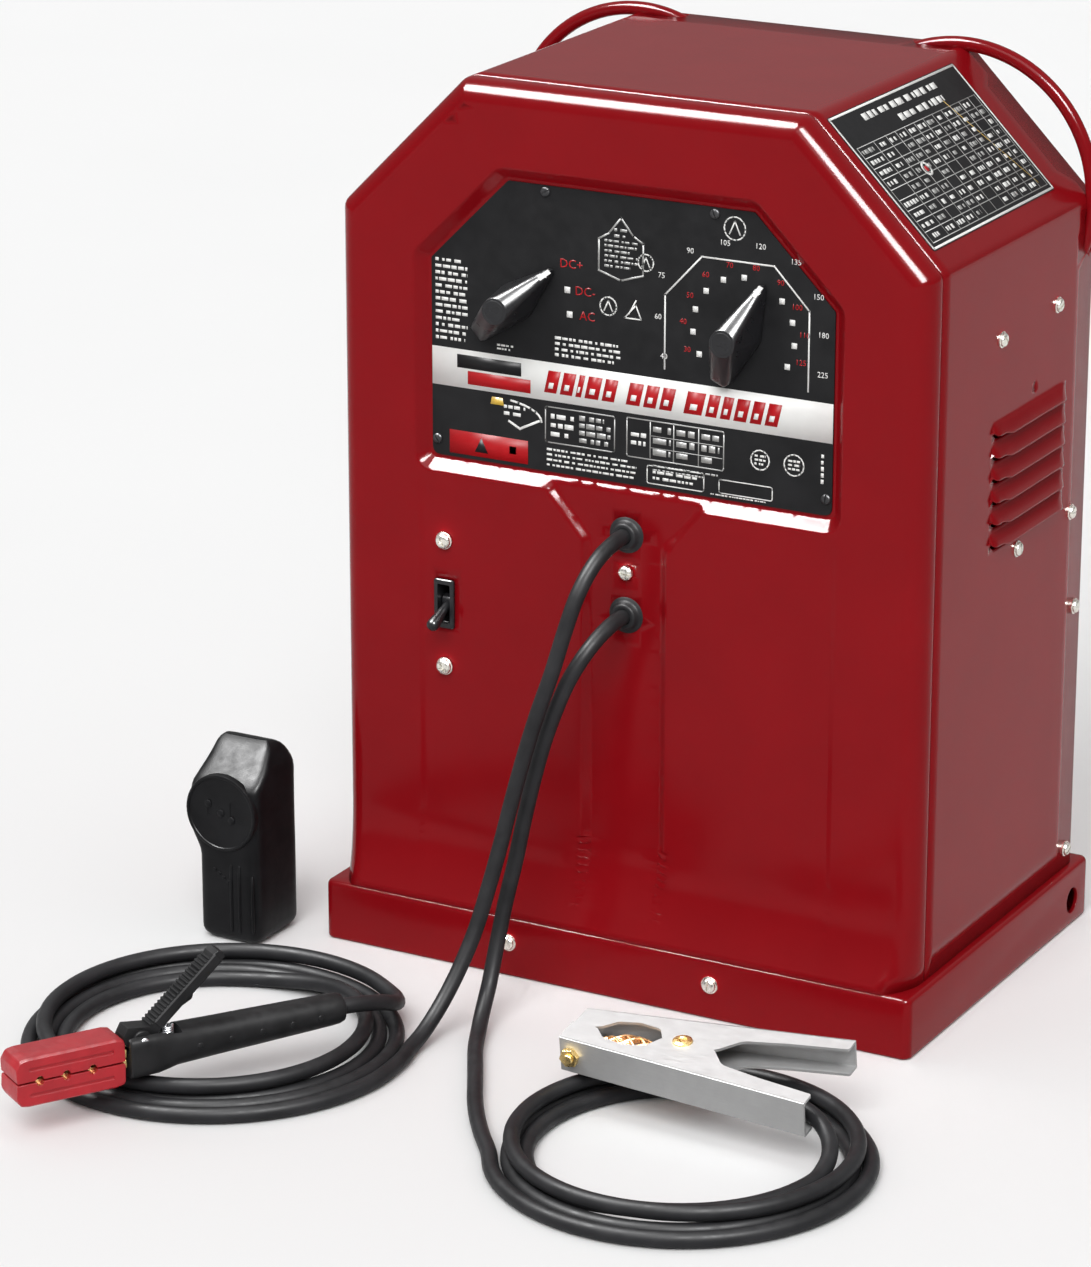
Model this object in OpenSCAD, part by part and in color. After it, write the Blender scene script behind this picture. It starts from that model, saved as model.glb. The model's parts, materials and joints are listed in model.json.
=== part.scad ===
/* [Case] */
// Width over the base skirt
base_w = 440; // [400:1:560]
// Depth over the base skirt
base_d = 296; // [280:1:380]
// Height of the whole case
case_h = 606; // [560:1:700]
// Height of the base skirt
base_h = 42; // [36:1:60]
// Thickness of the base skirt's sheet
base_t = 2.5; // [1.5:0.1:4]
// How far the skirt stands out from the case side
skirt_step = 6; // [4:0.5:12]
// How far the skirt stands out from the flat of the front panel
front_step = 18; // [12:0.5:24]
// How far the rear panel is set in from the back of the skirt
rear_step = 20; // [10:1:24]
// Thickness of the case sheet
sheet = 1.5; // [1:0.1:2.5]
// Size of the cut at the two top corners
chamfer = 92; // [70:1:110]
// Radius of the sheet's bends
bend_r = 10; // [4:0.5:16]
// Radius of the front panel's rounded rim
rim_r = 15; // [8:0.5:17]
// Height over which the front panel curves out to the skirt
flare_h = 58; // [30:1:80]

/* [Front panel] */
// Width of the nameplate
plate_w = 294; // [240:1:320]
// Height of the nameplate
plate_h = 193; // [160:1:210]
// Cut at the nameplate's two top corners
plate_cut = 58; // [40:1:70]
// Distance from the nameplate's top to the top of the case
plate_drop = 63; // [55:1:90]
// Thickness of the nameplate
plate_t = 1.2; // [0.8:0.1:2]
// Depth of the pressed recess
recess_d = 8; // [5:0.5:12]
// Width of the recess's slanted wall
recess_slope = 8; // [5:0.5:12]
// Half distance between the two dial pivots
dial_x = 82; // [76:0.5:90]
// Height of the dial pivots above the nameplate's lower edge
dial_up = 113; // [100:0.5:120]
// Half width of the channel below the nameplate
channel_x = 25; // [20:0.5:32]
// Power switch position left of the middle
switch_x = 134; // [120:1:150]
// Power switch depth below the nameplate's lower edge
switch_down = 100; // [90:1:110]

/* [Switches] */
// Radius of the rotary switch shafts
shaft_r = 3.15; // [2.5:0.05:4]
// Radial clearance of a shaft in its bushing
run_fit = 0.05; // [0.02:0.01:0.1]
// Height of a pointer knob
knob_h = 30; // [20:1:36]
// Length of a pointer knob from pivot to either end
knob_l = 37; // [28:0.5:42]
// Radius of a rotary switch's insulating deck
deck_r = 48; // [40:1:54]

/* [Cables] */
// Diameter of the welding cables
cable_d = 10.5; // [9:0.1:12]
// Angle of the selector between two neighbouring taps
tap_step = 24; // [20:1:24]

/* [Undercarriage] */
// Radius of the axle bore through the skirt
axle_r = 9; // [7:0.1:10]
// Height of the axle bore
axle_z = 18; // [16:0.5:20]
// Distance of the axle bore behind the middle
axle_y = 120; // [110:1:130]

/* [Transformer] */
// Width of the transformer core
core_w = 200; // [190:1:220]
// Height of the transformer core
core_h = 170; // [140:1:190]
// Depth of the transformer core
core_d = 80; // [60:1:90]

/* [Hidden] */
$fn = 48;
eps = 0.01;
gap = 0.3;

red = [0.55, 0.1, 0.12];
jaw_red = [0.72, 0.12, 0.14];
black = [0.1, 0.1, 0.11];
steel = [0.7, 0.71, 0.73];
zinc = [0.78, 0.79, 0.82];
copper = [0.72, 0.42, 0.24];
brass = [0.78, 0.64, 0.3];

case_w = base_w - 2 * skirt_step;
front_y = -base_d / 2 + front_step;
seam_y = front_y + rim_r + 3;
rear_y = base_d / 2 - rear_step;
floor_t = 3;
flare_out = front_step - 1;
flare_r = (flare_h * flare_h + flare_out * flare_out) / (2 * flare_out);
flare_top = base_h + flare_h;
flare_angle = asin(flare_h / flare_r);
tongue = 16;

plate_top = case_h - plate_drop;
plate_z = plate_top - plate_h;
plate_y = front_y + recess_d;
dial_z = plate_z + dial_up;
switch_z = plate_z - switch_down;
switch_pitch = 44;
top_hole_z = plate_z - 33;
bolt_z = plate_z - 59;
low_hole_z = plate_z - 88;
gland_r = 10;
gland_flange_r = 13;
gland_reach = 8;
screw_head_r = 6;
screw_head_h = 4.5;
screw_r = 2.4;
screw_hole_r = 2.6;
plate_screws = [[61, plate_top - 5], [142, plate_z + 12]];
// Places on the case's sides, as distance behind the middle and height
bracket_screws = [[-18, case_h - 155], [72, case_h - 153], [17, case_h - 305]];
flange_screws = [[106, case_h - 304], [118, case_h - 374], [118, base_h + 14]];
vent_hole = [38, case_h - 201];
skirt_screw_x = 76;
skirt_screw_z = 24.5;

louver_n = 6;
louver_y0 = -28;
louver_y1 = 88;
louver_top = case_h - 214;
louver_pitch = 15;
louver_out = 5;

handle_rod_r = 4.75;
handle_r = chamfer + 3;
handle_y = rear_y - sheet - 2 - handle_rod_r;
handle_cx = case_w / 2 - chamfer - 1;
handle_cz = case_h - chamfer - 1;
handle_dip = 27;
handle_tab_r = 3.6;

rail_w = 40;
rail_h = 18;
rail_t = 2.5;
rail_back = 90;
core_z = floor_t + rail_h;
core_yoke = 30;
core_leg = 25;
core_window = (core_w - 4 * core_leg) / 2 - 10;
centre_leg = core_w - 2 * core_leg - 2 * core_window;
coil_gap = 1.5;
coil_build = core_window - 2 * coil_gap;
coil_room = core_h - 2 * core_yoke - 3 * coil_gap;
core_bolt_r = 4;
core_bolt_x = skirt_screw_x + 8;

choke_w = 84;
choke_h = 96;
choke_d = 64;
choke_x = -core_w / 2 - 10 - choke_w / 2;

deck_y = front_y + 58;
deck_t = 5;
bush_r = 6;
nut_r = 9;
rotor_t = 5;
knob_base_y = plate_y - plate_t - 1;
knob_tip_y = knob_base_y - knob_h;
polarity_rest = 48;
current_rest = 24;
contact_r = 3;
contact_ring = deck_r - 10;

fan_z = case_h - 226;
fan_r = 80;
fan_y = rear_y - 32;
motor_r = 32;
motor_l = 46;

toggle_y = front_y - 1;
toggle_rest = 24;
cord_r = cable_d / 2;

electrode_centre = [-187, -338, 0];
work_centre = [164, -355, 0];
coil_h = 21.2;
electrode_in = 90;
electrode_out = 133.4;
work_in = 86;
work_out = 126.4;
electrode_route = [[0, -135, 317], [0, -147, 315.5], [-1.5, -158, 311.5], [-3.5, -167.5, 304.5],
    [-6, -175, 295], [-9, -180.5, 283], [-14, -185.5, 262], [-20, -190, 237], [-28, -195, 209],
    [-35, -200, 180], [-41, -205, 151],
    [-46, -211, 122], [-51, -218, 94], [-56, -227, 66], [-61, -240, 42], [-65, -256, 23],
    [-67, -276, 10], [-66, -296, 5.7], [-62, -314, 5.5]];
electrode_tail = [[-98.6, -319.4, 38], [-93, -307, 36], [-90, -290, 31], [-91, -273, 24],
    [-98, -257, 18], [-110, -244, 15.8]];
work_route = [[0, -135, 262], [-0.5, -147, 260.5], [-2.5, -158, 256], [-5.5, -167.5, 249],
    [-10, -174.5, 239], [-15.5, -179, 226], [-22, -182, 208], [-29, -184, 186],
    [-35, -186.5, 161], [-40, -190, 134], [-44, -194.5, 106],
    [-48, -201, 78], [-50, -209, 51], [-49, -221, 28], [-45, -238, 13], [-38, -256, 6.5],
    [-29, -275, 5.5], [-16, -298, 5.5], [-3, -321, 5.5], [10, -344, 5.5], [24, -366, 5.5],
    [40, -388, 5.5], [56, -408, 5.5]];
work_tail = [[259, -372, 15.8], [259, -356, 17], [256, -340, 20.5], [248, -325.5, 25],
    [235.5, -315, 29.8], [220.5, -309.5, 33.4], [206, -308.8, 35.4], [194, -310, 36.3],
    [183, -311, 36.4]];

holder_at = [-223, -520, 38];
holder_turn = 58.2;
holder_l = 236;
jaw_l = 74;
jaw_half_w = 13;
jaw_top = 16.5;
jaw_split = 0.6;
hinge_x = 88;
hinge_z = 10;
hinge_r = 3;
ear_in = 9;
ear_t = 3;
slot_z = 3;
spring_x = hinge_x + 20;

clamp_at = [131, -292, 39.5];
clamp_turn = 3;
clamp_roll = 8;
arm_front = -76;
arm_back = 100;
arm_jaw_y = 21;
arm_slope = 0.12;
arm_h = 24;
arm_t = 1.8;
nest = 0.4;
rivet_r = 4;

receptacle_w = 57;
receptacle_d = 55;
receptacle_h = 140;
receptacle_at = [-base_w / 2 - 56.5, -189, 0];
receptacle_face_z = 94;
receptacle_face_r = 26;

// Extrudes an outline drawn in x and z from y0 to y1
module along_y(y0, y1) {
    translate([0, y1, 0]) rotate([90, 0, 0]) linear_extrude(y1 - y0) children();
}

// Extrudes an outline drawn in y and z from x0 to x1
module along_x(x0, x1) {
    translate([x0, 0, 0]) rotate([90, 0, 90]) linear_extrude(x1 - x0) children();
}

// Turned shape: a cylinder along +Y, from y0 to y1
module rod_y(x, y0, y1, z, r) {
    translate([x, y1, z]) rotate([90, 0, 0]) cylinder(h = y1 - y0, r = r);
}

// A cylinder along +X, from x0 to x1
module rod_x(x0, x1, y, z, r) {
    translate([x0, y, z]) rotate([0, 90, 0]) cylinder(h = x1 - x0, r = r);
}

module box(low, high) {
    translate(low) cube(high - low);
}

module both_sides() {
    children();
    mirror([1, 0, 0]) children();
}

function arc(cx, cy, r, from, to, n) =
    [for (i = [0:n]) [cx + r * cos(from + (to - from) * i / n),
        cy + r * sin(from + (to - from) * i / n)]];

function flip(points) = [for (i = [len(points) - 1:-1:0]) [-points[i][0], points[i][1]]];

// Right half of the case's outline, drawn in by an inset, from its foot to its flat top
function case_half(inset, foot) =
    let (r = max(bend_r - inset, 1), w = case_w / 2 - inset, h = case_h - inset,
        c = chamfer - inset * (2 - sqrt(2)), t = r * tan(22.5))
    concat([[w, foot]], arc(w - r, h - c - t, r, 0, 45, 4), arc(w - c - t, h - r, r, 45, 90, 4));

function case_outline(inset, foot) =
    concat(case_half(inset, foot), flip(case_half(inset, foot)));

function plate_outline(grow) =
    let (w = plate_w / 2 + grow, c = plate_cut + grow * (2 - sqrt(2)))
    [[w, plate_z - grow], [w, plate_top + grow - c], [w - c, plate_top + grow],
        [c - w, plate_top + grow], [-w, plate_top + grow - c], [-w, plate_z - grow]];

// Funnel and channel below the nameplate, widened by grow
function channel_outline(grow) =
    let (mouth = channel_x + 27, neck = channel_x + grow)
    [[mouth + grow, plate_z - 6], [neck, plate_z - 38], [neck, flare_top + 4],
        [-neck, flare_top + 4], [-neck, plate_z - 38], [-mouth - grow, plate_z - 6]];

// Solid with the front panel's rounded rim, drawn in by an inset
module rim_solid(inset, foot, back_y) {
    steps = 6;
    hull() {
        for (i = [0:steps]) {
            turn = 90 * i / steps;
            y = front_y + inset + (rim_r - inset) * (1 - cos(turn));
            along_y(y, y + eps) polygon(case_outline(inset + (rim_r - inset) * (1 - sin(turn)), foot));
        }
        along_y(back_y - eps, back_y) polygon(case_outline(inset, foot));
    }
}

// Pan head screw whose head lies outside, along +Y from the face at y
module screw_y(x, y, z, head, length) {
    translate([x, y, z]) rotate([90, 0, 0]) difference() {
        union() {
            cylinder(h = screw_head_h, r1 = head, r2 = head * 0.7);
            translate([0, 0, -length]) cylinder(h = length + eps, r = screw_r);
        }
        translate([-head, -0.7, screw_head_h - 1.4]) cube([2 * head, 1.4, 2]);
    }
}

module screw_x(y, z, head, length) {
    translate([case_w / 2, y, z]) rotate([0, 90, 0]) difference() {
        union() {
            cylinder(h = 3, r1 = head, r2 = head * 0.7);
            translate([0, 0, -length]) cylinder(h = length + eps, r = screw_r);
        }
        translate([-head, -0.6, 2]) cube([2 * head, 1.2, 2]);
    }
}

function unit(v) = v / norm(v);
function heading(p, i) = unit(p[min(i + 1, len(p) - 1)] - p[max(i - 1, 0)]);
function ring(p, i, r, side, n) =
    let (t = heading(p, i), a = unit(cross(t, side)), b = cross(t, a))
    [for (k = [0:n - 1]) p[i] + r * (a * cos(360 * k / n) + b * sin(360 * k / n))];

// Round tube swept through a route; side is a direction that the route never takes
module sweep(route, r, side) {
    n = 10;
    m = len(route);
    points = [for (i = [0:m - 1]) each ring(route, i, r, side, n)];
    walls = [for (i = [0:m - 2]) for (k = [0:n - 1])
        [i * n + k, (i + 1) * n + k, (i + 1) * n + (k + 1) % n, i * n + (k + 1) % n]];
    start = [for (k = [0:n - 1]) k];
    finish = [for (k = [n - 1:-1:0]) (m - 1) * n + k];
    polyhedron(points, concat(walls, [start], [finish]), convexity = 6);
}

module base_pan() color(red) {
    inner_w = base_w - 2 * base_t;
    inner_d = base_d - 2 * base_t;
    lip = 14;
    difference() {
        box([-base_w / 2, -base_d / 2, 0], [base_w / 2, base_d / 2, base_h]);
        box([-inner_w / 2, -inner_d / 2, floor_t], [inner_w / 2, inner_d / 2, base_h - base_t]);
        box([lip - case_w / 2, front_y + 2, floor_t], [case_w / 2 - lip, rear_y - lip, base_h + 1]);
        rod_x(-base_w, base_w, axle_y, axle_z, axle_r);
        both_sides() rod_y(skirt_screw_x, -base_d / 2 - 1, -base_d / 2 + base_t + 1,
            skirt_screw_z, screw_hole_r);
    }
}

module base_rails() color(steel) both_sides() difference() {
    front = -base_d / 2 + base_t;
    union() {
        box([skirt_screw_x - rail_w / 2, front, floor_t],
            [skirt_screw_x + rail_w / 2, rail_back, floor_t + rail_h]);
        box([skirt_screw_x - rail_w / 2, front, floor_t],
            [skirt_screw_x + rail_w / 2, front + rail_t, base_h - base_t - 1]);
    }
    box([skirt_screw_x - rail_w / 2 + rail_t, front + rail_t, floor_t - 1],
        [skirt_screw_x + rail_w / 2 - rail_t, rail_back + 1, floor_t + rail_h - rail_t]);
    rod_y(skirt_screw_x, front - 1, front + rail_t + 1, skirt_screw_z, screw_hole_r);
    for (y = [-1, 1]) translate([core_bolt_x, y * (core_d / 2 - 12), 0])
        cylinder(h = base_h, r = core_bolt_r + 0.2);
}

// Curved strip that carries the front panel out to the skirt
module flare() {
    outer = arc(front_y - flare_r, flare_top, flare_r, 0, -flare_angle, 8);
    inner = arc(front_y - flare_r, flare_top, flare_r + sheet,
        -asin(flare_h / (flare_r + sheet)), 0, 8);
    along_x(rim_r - case_w / 2, case_w / 2 - rim_r)
        polygon(concat(outer, inner));
}

module front_panel() color(red) {
    difference() {
        union() {
            difference() {
                rim_solid(0, base_h, seam_y);
                rim_solid(sheet, base_h - 1, seam_y + eps);
                box([rim_r - case_w / 2, front_y - 1, base_h - 1],
                    [case_w / 2 - rim_r, front_y + sheet + eps, flare_top]);
            }
            flare();
            along_y(seam_y - 2, seam_y) difference() {
                polygon(case_outline(sheet / 2, base_h));
                polygon(case_outline(2 * sheet + 0.2, base_h - 1));
            }
            along_y(seam_y - 1, seam_y + tongue) difference() {
                polygon(case_outline(sheet + 0.2, base_h));
                polygon(case_outline(2 * sheet + 0.2, base_h - 1));
            }
            along_y(front_y + sheet / 2, plate_y + sheet) polygon(plate_outline(recess_slope + sheet));
            along_y(front_y + sheet / 2, plate_y + sheet) polygon(channel_outline(sheet));
        }
        hull() {
            along_y(front_y - eps, front_y) polygon(plate_outline(recess_slope));
            along_y(plate_y - eps, plate_y) polygon(plate_outline(0));
        }
        along_y(front_y - 1, plate_y) polygon(channel_outline(0));
        for (z = [top_hole_z, low_hole_z]) rod_y(0, front_y, plate_y + 5, z, gland_r);
        rod_y(0, front_y, plate_y + 5, bolt_z, screw_hole_r);
        for (x = [-dial_x, dial_x]) rod_y(x, front_y, plate_y + 5, dial_z, bush_r + 0.2);
        both_sides() for (s = plate_screws) rod_y(s[0], front_y, plate_y + 5, s[1], 1.6);
        for (z = [-1, 1]) rod_y(-switch_x, front_y - 1, front_y + 5,
            switch_z + z * switch_pitch, screw_hole_r);
        box([-switch_x - 5, front_y - 1, switch_z - 14], [-switch_x + 5, front_y + 5, switch_z + 14]);
        both_sides() box([case_w / 2 - 20, seam_y - 4, 0], [case_w / 2 + 1, seam_y + tongue + 1, base_h]);
    }
}

// Ring around a handle's rod, for the slots that let it through the sheet
module handle_slot() {
    translate([handle_cx, handle_y, handle_cz]) rotate([90, 0, 0])
        rotate_extrude() translate([handle_r, 0]) circle(r = handle_rod_r + 0.6);
}

module louver(z) {
    edge = case_w / 2;
    along_y(louver_y0, louver_y1) polygon([[edge - 0.2, z + 6], [edge + louver_out, z - 4],
        [edge + louver_out, z - 6], [edge + louver_out - 1.4, z - 6], [edge - 0.2, z + 3]]);
    for (y = [louver_y0, louver_y1 - 1.4]) along_y(y, y + 1.4)
        polygon([[edge - 0.2, z + 6], [edge + louver_out, z - 6], [edge - 0.2, z - 6]]);
}

module wrapper() color(red) {
    difference() {
        along_y(seam_y, rear_y) difference() {
            polygon(case_outline(0, base_h));
            polygon(case_outline(sheet, base_h - 1));
        }
        both_sides() for (i = [0:louver_n - 1]) {
            z = louver_top - i * louver_pitch;
            box([case_w / 2 - 3, louver_y0 + 1.4, z - 5], [case_w / 2 + 3, louver_y1 - 1.4, z + 2]);
        }
        both_sides() for (s = flange_screws) rod_x(case_w / 2 - 5, case_w / 2 + 5, s[0], s[1], screw_hole_r);
        for (s = bracket_screws) rod_x(case_w / 2 - 5, case_w / 2 + 5, s[0], s[1], screw_hole_r);
        rod_x(case_w / 2 - 5, case_w / 2 + 5, vent_hole[0], vent_hole[1], 3);
        both_sides() handle_slot();
    }
    both_sides() for (i = [0:louver_n - 1]) louver(louver_top - i * louver_pitch);
}

module rear_panel() color(red) difference() {
    flange_y = 98;
    union() {
        along_y(rear_y - sheet, rear_y) polygon(case_outline(sheet + 0.1, base_h));
        along_y(flange_y, rear_y) difference() {
            polygon(case_outline(sheet + 0.1, base_h));
            polygon(case_outline(2 * sheet + 0.1, base_h - 1));
        }
    }
    both_sides() handle_slot();
    both_sides() for (s = flange_screws) rod_x(case_w / 2 - 9, case_w / 2 + 5, s[0], s[1], screw_hole_r);
    for (i = [-4:4]) {
        half = sqrt(fan_r * fan_r - pow(i * 16, 2));
        box([-half, rear_y - 5, fan_z + i * 16 - 4], [half, rear_y + 1, fan_z + i * 16 + 4]);
    }
    rod_y(-150, rear_y - 5, rear_y + 1, base_h + 50, 14);
    for (x = [-60, 60]) rod_y(x, rear_y - 5, rear_y + 1, fan_z - fan_r - 14, screw_hole_r);
}

// Bent lifting rod with a flat tab at each end, for the right side
module handle() {
    translate([handle_cx, handle_y, handle_cz]) rotate([90, 0, 0]) rotate([0, 0, -handle_dip])
        rotate_extrude(angle = 90 + 2 * handle_dip) translate([handle_r, 0]) circle(r = handle_rod_r);
    for (turn = [1 - handle_dip, 89 + handle_dip])
        translate([handle_cx + handle_r * cos(turn), handle_y, handle_cz + handle_r * sin(turn)])
            rotate([-90, 0, 0]) cylinder(h = rear_y - sheet - handle_y, r = handle_tab_r);
}

module handle_right() color(red) handle();

module handle_left() color(red) mirror([1, 0, 0]) handle();

module nameplate() color(black) difference() {
    along_y(plate_y - plate_t, plate_y) polygon(plate_outline(-1));
    for (x = [-dial_x, dial_x]) rod_y(x, plate_y - 5, plate_y + 5, dial_z, bush_r + 0.2);
    both_sides() for (s = plate_screws) rod_y(s[0], plate_y - 5, plate_y + 5, s[1], 1.6);
}

// Printed plate on the right corner cut
module chamfer_label() color(black) {
    slope = chamfer * sqrt(2);
    translate([case_w / 2 - chamfer, 0, case_h]) rotate([0, 45, 0])
        box([6, seam_y + 10, 0], [slope - 16, 88, 0.6]);
}

module nameplate_screws() color(black) both_sides() for (s = plate_screws)
    translate([s[0], plate_y - plate_t, s[1]]) rotate([90, 0, 0]) {
        cylinder(h = 1.8, r1 = 3.6, r2 = 2.4);
        translate([0, 0, -8]) cylinder(h = 8 + eps, r = 1.5);
    }

module case_screws() color(zinc) {
    both_sides() for (s = flange_screws) screw_x(s[0], s[1], 5.5, 8);
    for (s = bracket_screws) screw_x(s[0], s[1], 5.5, 8);
}

module base_screws() color(zinc) both_sides()
    screw_y(skirt_screw_x, -base_d / 2, skirt_screw_z, screw_head_r, 9);

module switch_screws() color(zinc) for (z = [-1, 1])
    screw_y(-switch_x, front_y, switch_z + z * switch_pitch, screw_head_r, 9);

module panel_bolt() color(zinc) screw_y(0, plate_y, bolt_z, 5.5, 12);

module cable_glands() color(black) for (z = [top_hole_z, low_hole_z])
    translate([0, plate_y, z]) rotate([90, 0, 0]) rotate_extrude()
        polygon([[cord_r + 0.15, -sheet - 3], [gland_flange_r - 1, -sheet - 3],
            [gland_flange_r - 1, -sheet], [gland_r, -sheet], [gland_r, 0], [gland_flange_r, 0],
            [gland_flange_r, 2.5], [gland_r - 1, gland_reach], [cord_r + 0.15, gland_reach]]);

module power_switch_body() color(black) difference() {
    back = front_y + sheet;
    union() {
        box([-switch_x - 17, back + 2, switch_z - 30], [-switch_x + 17, back + 48, switch_z + 30]);
        box([-switch_x - 11, back, switch_z - switch_pitch - 9],
            [-switch_x + 11, back + 2, switch_z + switch_pitch + 9]);
    }
    box([-switch_x - 4.6, back - 1, switch_z - 13], [-switch_x + 4.6, back + 16, switch_z + 13]);
    for (z = [-1, 1]) rod_y(-switch_x, back - 1, back + 3, switch_z + z * switch_pitch, screw_hole_r);
}

// Bat lever that turns on a cross pin behind the panel
module power_toggle() color(black) translate([-switch_x, toggle_y + 9, switch_z]) {
    rotate([0, 90, 0]) translate([0, 0, -4.2]) cylinder(h = 8.4, r = 4.6);
    rotate([90 + toggle_rest, 0, 0]) rotate_extrude()
        polygon([[0, 0], [3, 0], [3, 12], [4.4, 24], [4.4, 27], [3, 29], [0, 29]]);
}

// Pointer knob: a tall round grip that runs down to a narrow tip and a wider tail
module knob(x, angle) {
    translate([x, knob_base_y, dial_z]) rotate([0, angle, 0]) rotate([90, 0, 0]) difference() {
        hull() {
            cylinder(h = knob_h, r1 = 13, r2 = 8.5, $fn = 32);
            translate([-2, knob_l - 1, 0]) cube([4, 1, 6]);
            translate([-7, -knob_l, 0]) cube([14, 1, 8]);
        }
        translate([0, 0, -1]) cylinder(h = knob_h - 6, r = shaft_r);
        translate([0, 0, -1]) cylinder(h = 7, r = nut_r);
    }
}

module shaft(x) rod_y(x, knob_base_y - knob_h + 7, deck_y + deck_t + rotor_t + 3, dial_z, shaft_r);

// Contact arm behind the deck, pressed on the shaft
module rotor(x, angle) {
    y = deck_y + deck_t + gap + 2;
    difference() {
        union() {
            rod_y(x, y, y + rotor_t, dial_z, 9);
            translate([x, 0, dial_z]) rotate([0, angle, 0])
                box([-4, y, 0], [4, y + 2, contact_ring + 3]);
        }
        rod_y(x, y - 1, y + rotor_t + 1, dial_z, shaft_r);
    }
}

module polarity_knob() color(black) knob(-dial_x, polarity_rest);
module polarity_shaft() color(steel) shaft(-dial_x);
module polarity_rotor() color(copper) rotor(-dial_x, polarity_rest);
module current_knob() color(black) knob(dial_x, current_rest);
module current_shaft() color(steel) shaft(dial_x);
module current_rotor() color(copper) rotor(dial_x, current_rest);

module switch_bushings() color(brass) for (x = [-dial_x, dial_x]) difference() {
    union() {
        rod_y(x, plate_y - plate_t - 4, deck_y, dial_z, bush_r);
        rod_y(x, plate_y + sheet, plate_y + sheet + 4, dial_z, nut_r);
        rod_y(x, plate_y - plate_t - 3, plate_y - plate_t, dial_z, nut_r - 0.5);
        rod_y(x, deck_y - 3, deck_y, dial_z, nut_r);
    }
    rod_y(x, plate_y - 20, deck_y + 1, dial_z, shaft_r + run_fit);
}

module switch_decks() color([0.45, 0.3, 0.18]) for (x = [-dial_x, dial_x]) difference() {
    rod_y(x, deck_y, deck_y + deck_t, dial_z, x < 0 ? deck_r - 14 : deck_r);
    rod_y(x, deck_y - 1, deck_y + deck_t + 1, dial_z, shaft_r + run_fit);
    for (a = contact_angles(x)) contact_hole(x, a, contact_r + 0.05);
}

function contact_angles(x) = x < 0 ? [48, 72, 96] : [for (i = [-5:5]) i * tap_step];

module contact_hole(x, a, r) {
    ring = x < 0 ? contact_ring - 14 : contact_ring;
    translate([x, 0, dial_z]) rotate([0, a, 0])
        rod_y(0, deck_y - 9, deck_y + deck_t + 1.5, ring, r);
}

module switch_contacts() color(copper) for (x = [-dial_x, dial_x])
    for (a = contact_angles(x)) contact_hole(x, a, contact_r);

module transformer_core() color([0.32, 0.33, 0.35]) difference() {
    box([-core_w / 2, -core_d / 2, core_z], [core_w / 2, core_d / 2, core_z + core_h]);
    both_sides() box([centre_leg / 2, -core_d, core_z + core_yoke],
        [centre_leg / 2 + core_window, core_d, core_z + core_h - core_yoke]);
    both_sides() for (y = [-1, 1]) translate([core_bolt_x, y * (core_d / 2 - 12), 0])
        cylinder(h = core_z + core_h + 1, r = core_bolt_r + 0.2);
}

// Rectangular winding around the centre leg
module winding(z0, z1) {
    x = centre_leg / 2 + coil_gap;
    y = core_d / 2 + coil_gap;
    difference() {
        box([-x - coil_build, -y - coil_build, z0], [x + coil_build, y + coil_build, z1]);
        box([-x, -y, z0 - 1], [x, y, z1 + 1]);
    }
}

module primary_coil() color([0.55, 0.3, 0.12])
    winding(core_z + core_yoke + coil_gap, core_z + core_yoke + coil_gap + coil_room / 2);

module secondary_coil() color(copper)
    winding(core_z + core_yoke + 2 * coil_gap + coil_room / 2,
        core_z + core_yoke + 2 * coil_gap + coil_room);

module core_bolts() color(zinc) both_sides() for (y = [-1, 1])
    translate([core_bolt_x, y * (core_d / 2 - 12), core_z - rail_t - 4]) {
        cylinder(h = core_h + rail_t + 10, r = core_bolt_r);
        cylinder(h = 4, r = 7);
        translate([0, 0, core_h + rail_t + 4]) cylinder(h = 6, r = 7);
    }

module choke_core() color([0.32, 0.33, 0.35]) difference() {
    box([choke_x - choke_w / 2, -choke_d / 2, floor_t], [choke_x + choke_w / 2, choke_d / 2, floor_t + choke_h]);
    box([choke_x - choke_w / 2 + 24, -choke_d, floor_t + 18],
        [choke_x + choke_w / 2 - 24, choke_d, floor_t + choke_h - 18]);
}

// Winding around one upright leg of the choke
module choke_coil() color(copper) difference() {
    low = floor_t + 19;
    high = floor_t + choke_h - 19;
    x0 = choke_x + choke_w / 2 - 24;
    box([x0 - 16, -choke_d / 2 - 16, low], [x0 + 24 + 6, choke_d / 2 + 16, high]);
    box([x0 - 1, -choke_d / 2 - 1, low - 1], [x0 + 25, choke_d / 2 + 1, high + 1]);
}

module rectifier_bracket() color(zinc) {
    x1 = case_w / 2 - sheet;
    low = case_h - 318;
    high = case_h - 140;
    difference() {
        box([x1 - 2, -30, low], [x1, 90, high]);
        for (s = bracket_screws) rod_x(x1 - 5, x1 + 1, s[0], s[1], screw_hole_r);
        box([x1 - 3, louver_y0 - 1, louver_top - louver_n * louver_pitch],
            [x1 + 1, louver_y1 - 6, louver_top + 6]);
    }
    for (z = [low + 4, high - 30]) box([x1 - 42, 78, z], [x1 - 1, 80, z + 26]);
}

module heat_sinks() color(steel) {
    x1 = case_w / 2 - sheet;
    low = case_h - 318;
    high = case_h - 140;
    for (z = [low + 4, high - 30]) {
        box([x1 - 110, 75, z - 24], [x1 - 12, 78, z + 50]);
        for (i = [0:4]) box([x1 - 110 + i * 9, 57, z - 24], [x1 - 108 + i * 9, 75, z + 50]);
    }
}

module diodes() color(copper) {
    x1 = case_w / 2 - sheet;
    for (z = [case_h - 318 + 4, case_h - 140 - 30]) for (dz = [-6, 34])
        translate([x1 - 34, 75, z + dz]) rotate([90, 0, 0]) {
            cylinder(h = 5, r = 9);
            cylinder(h = 14, r = 7);
            cylinder(h = 24, r = 2.5);
        }
}

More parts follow.
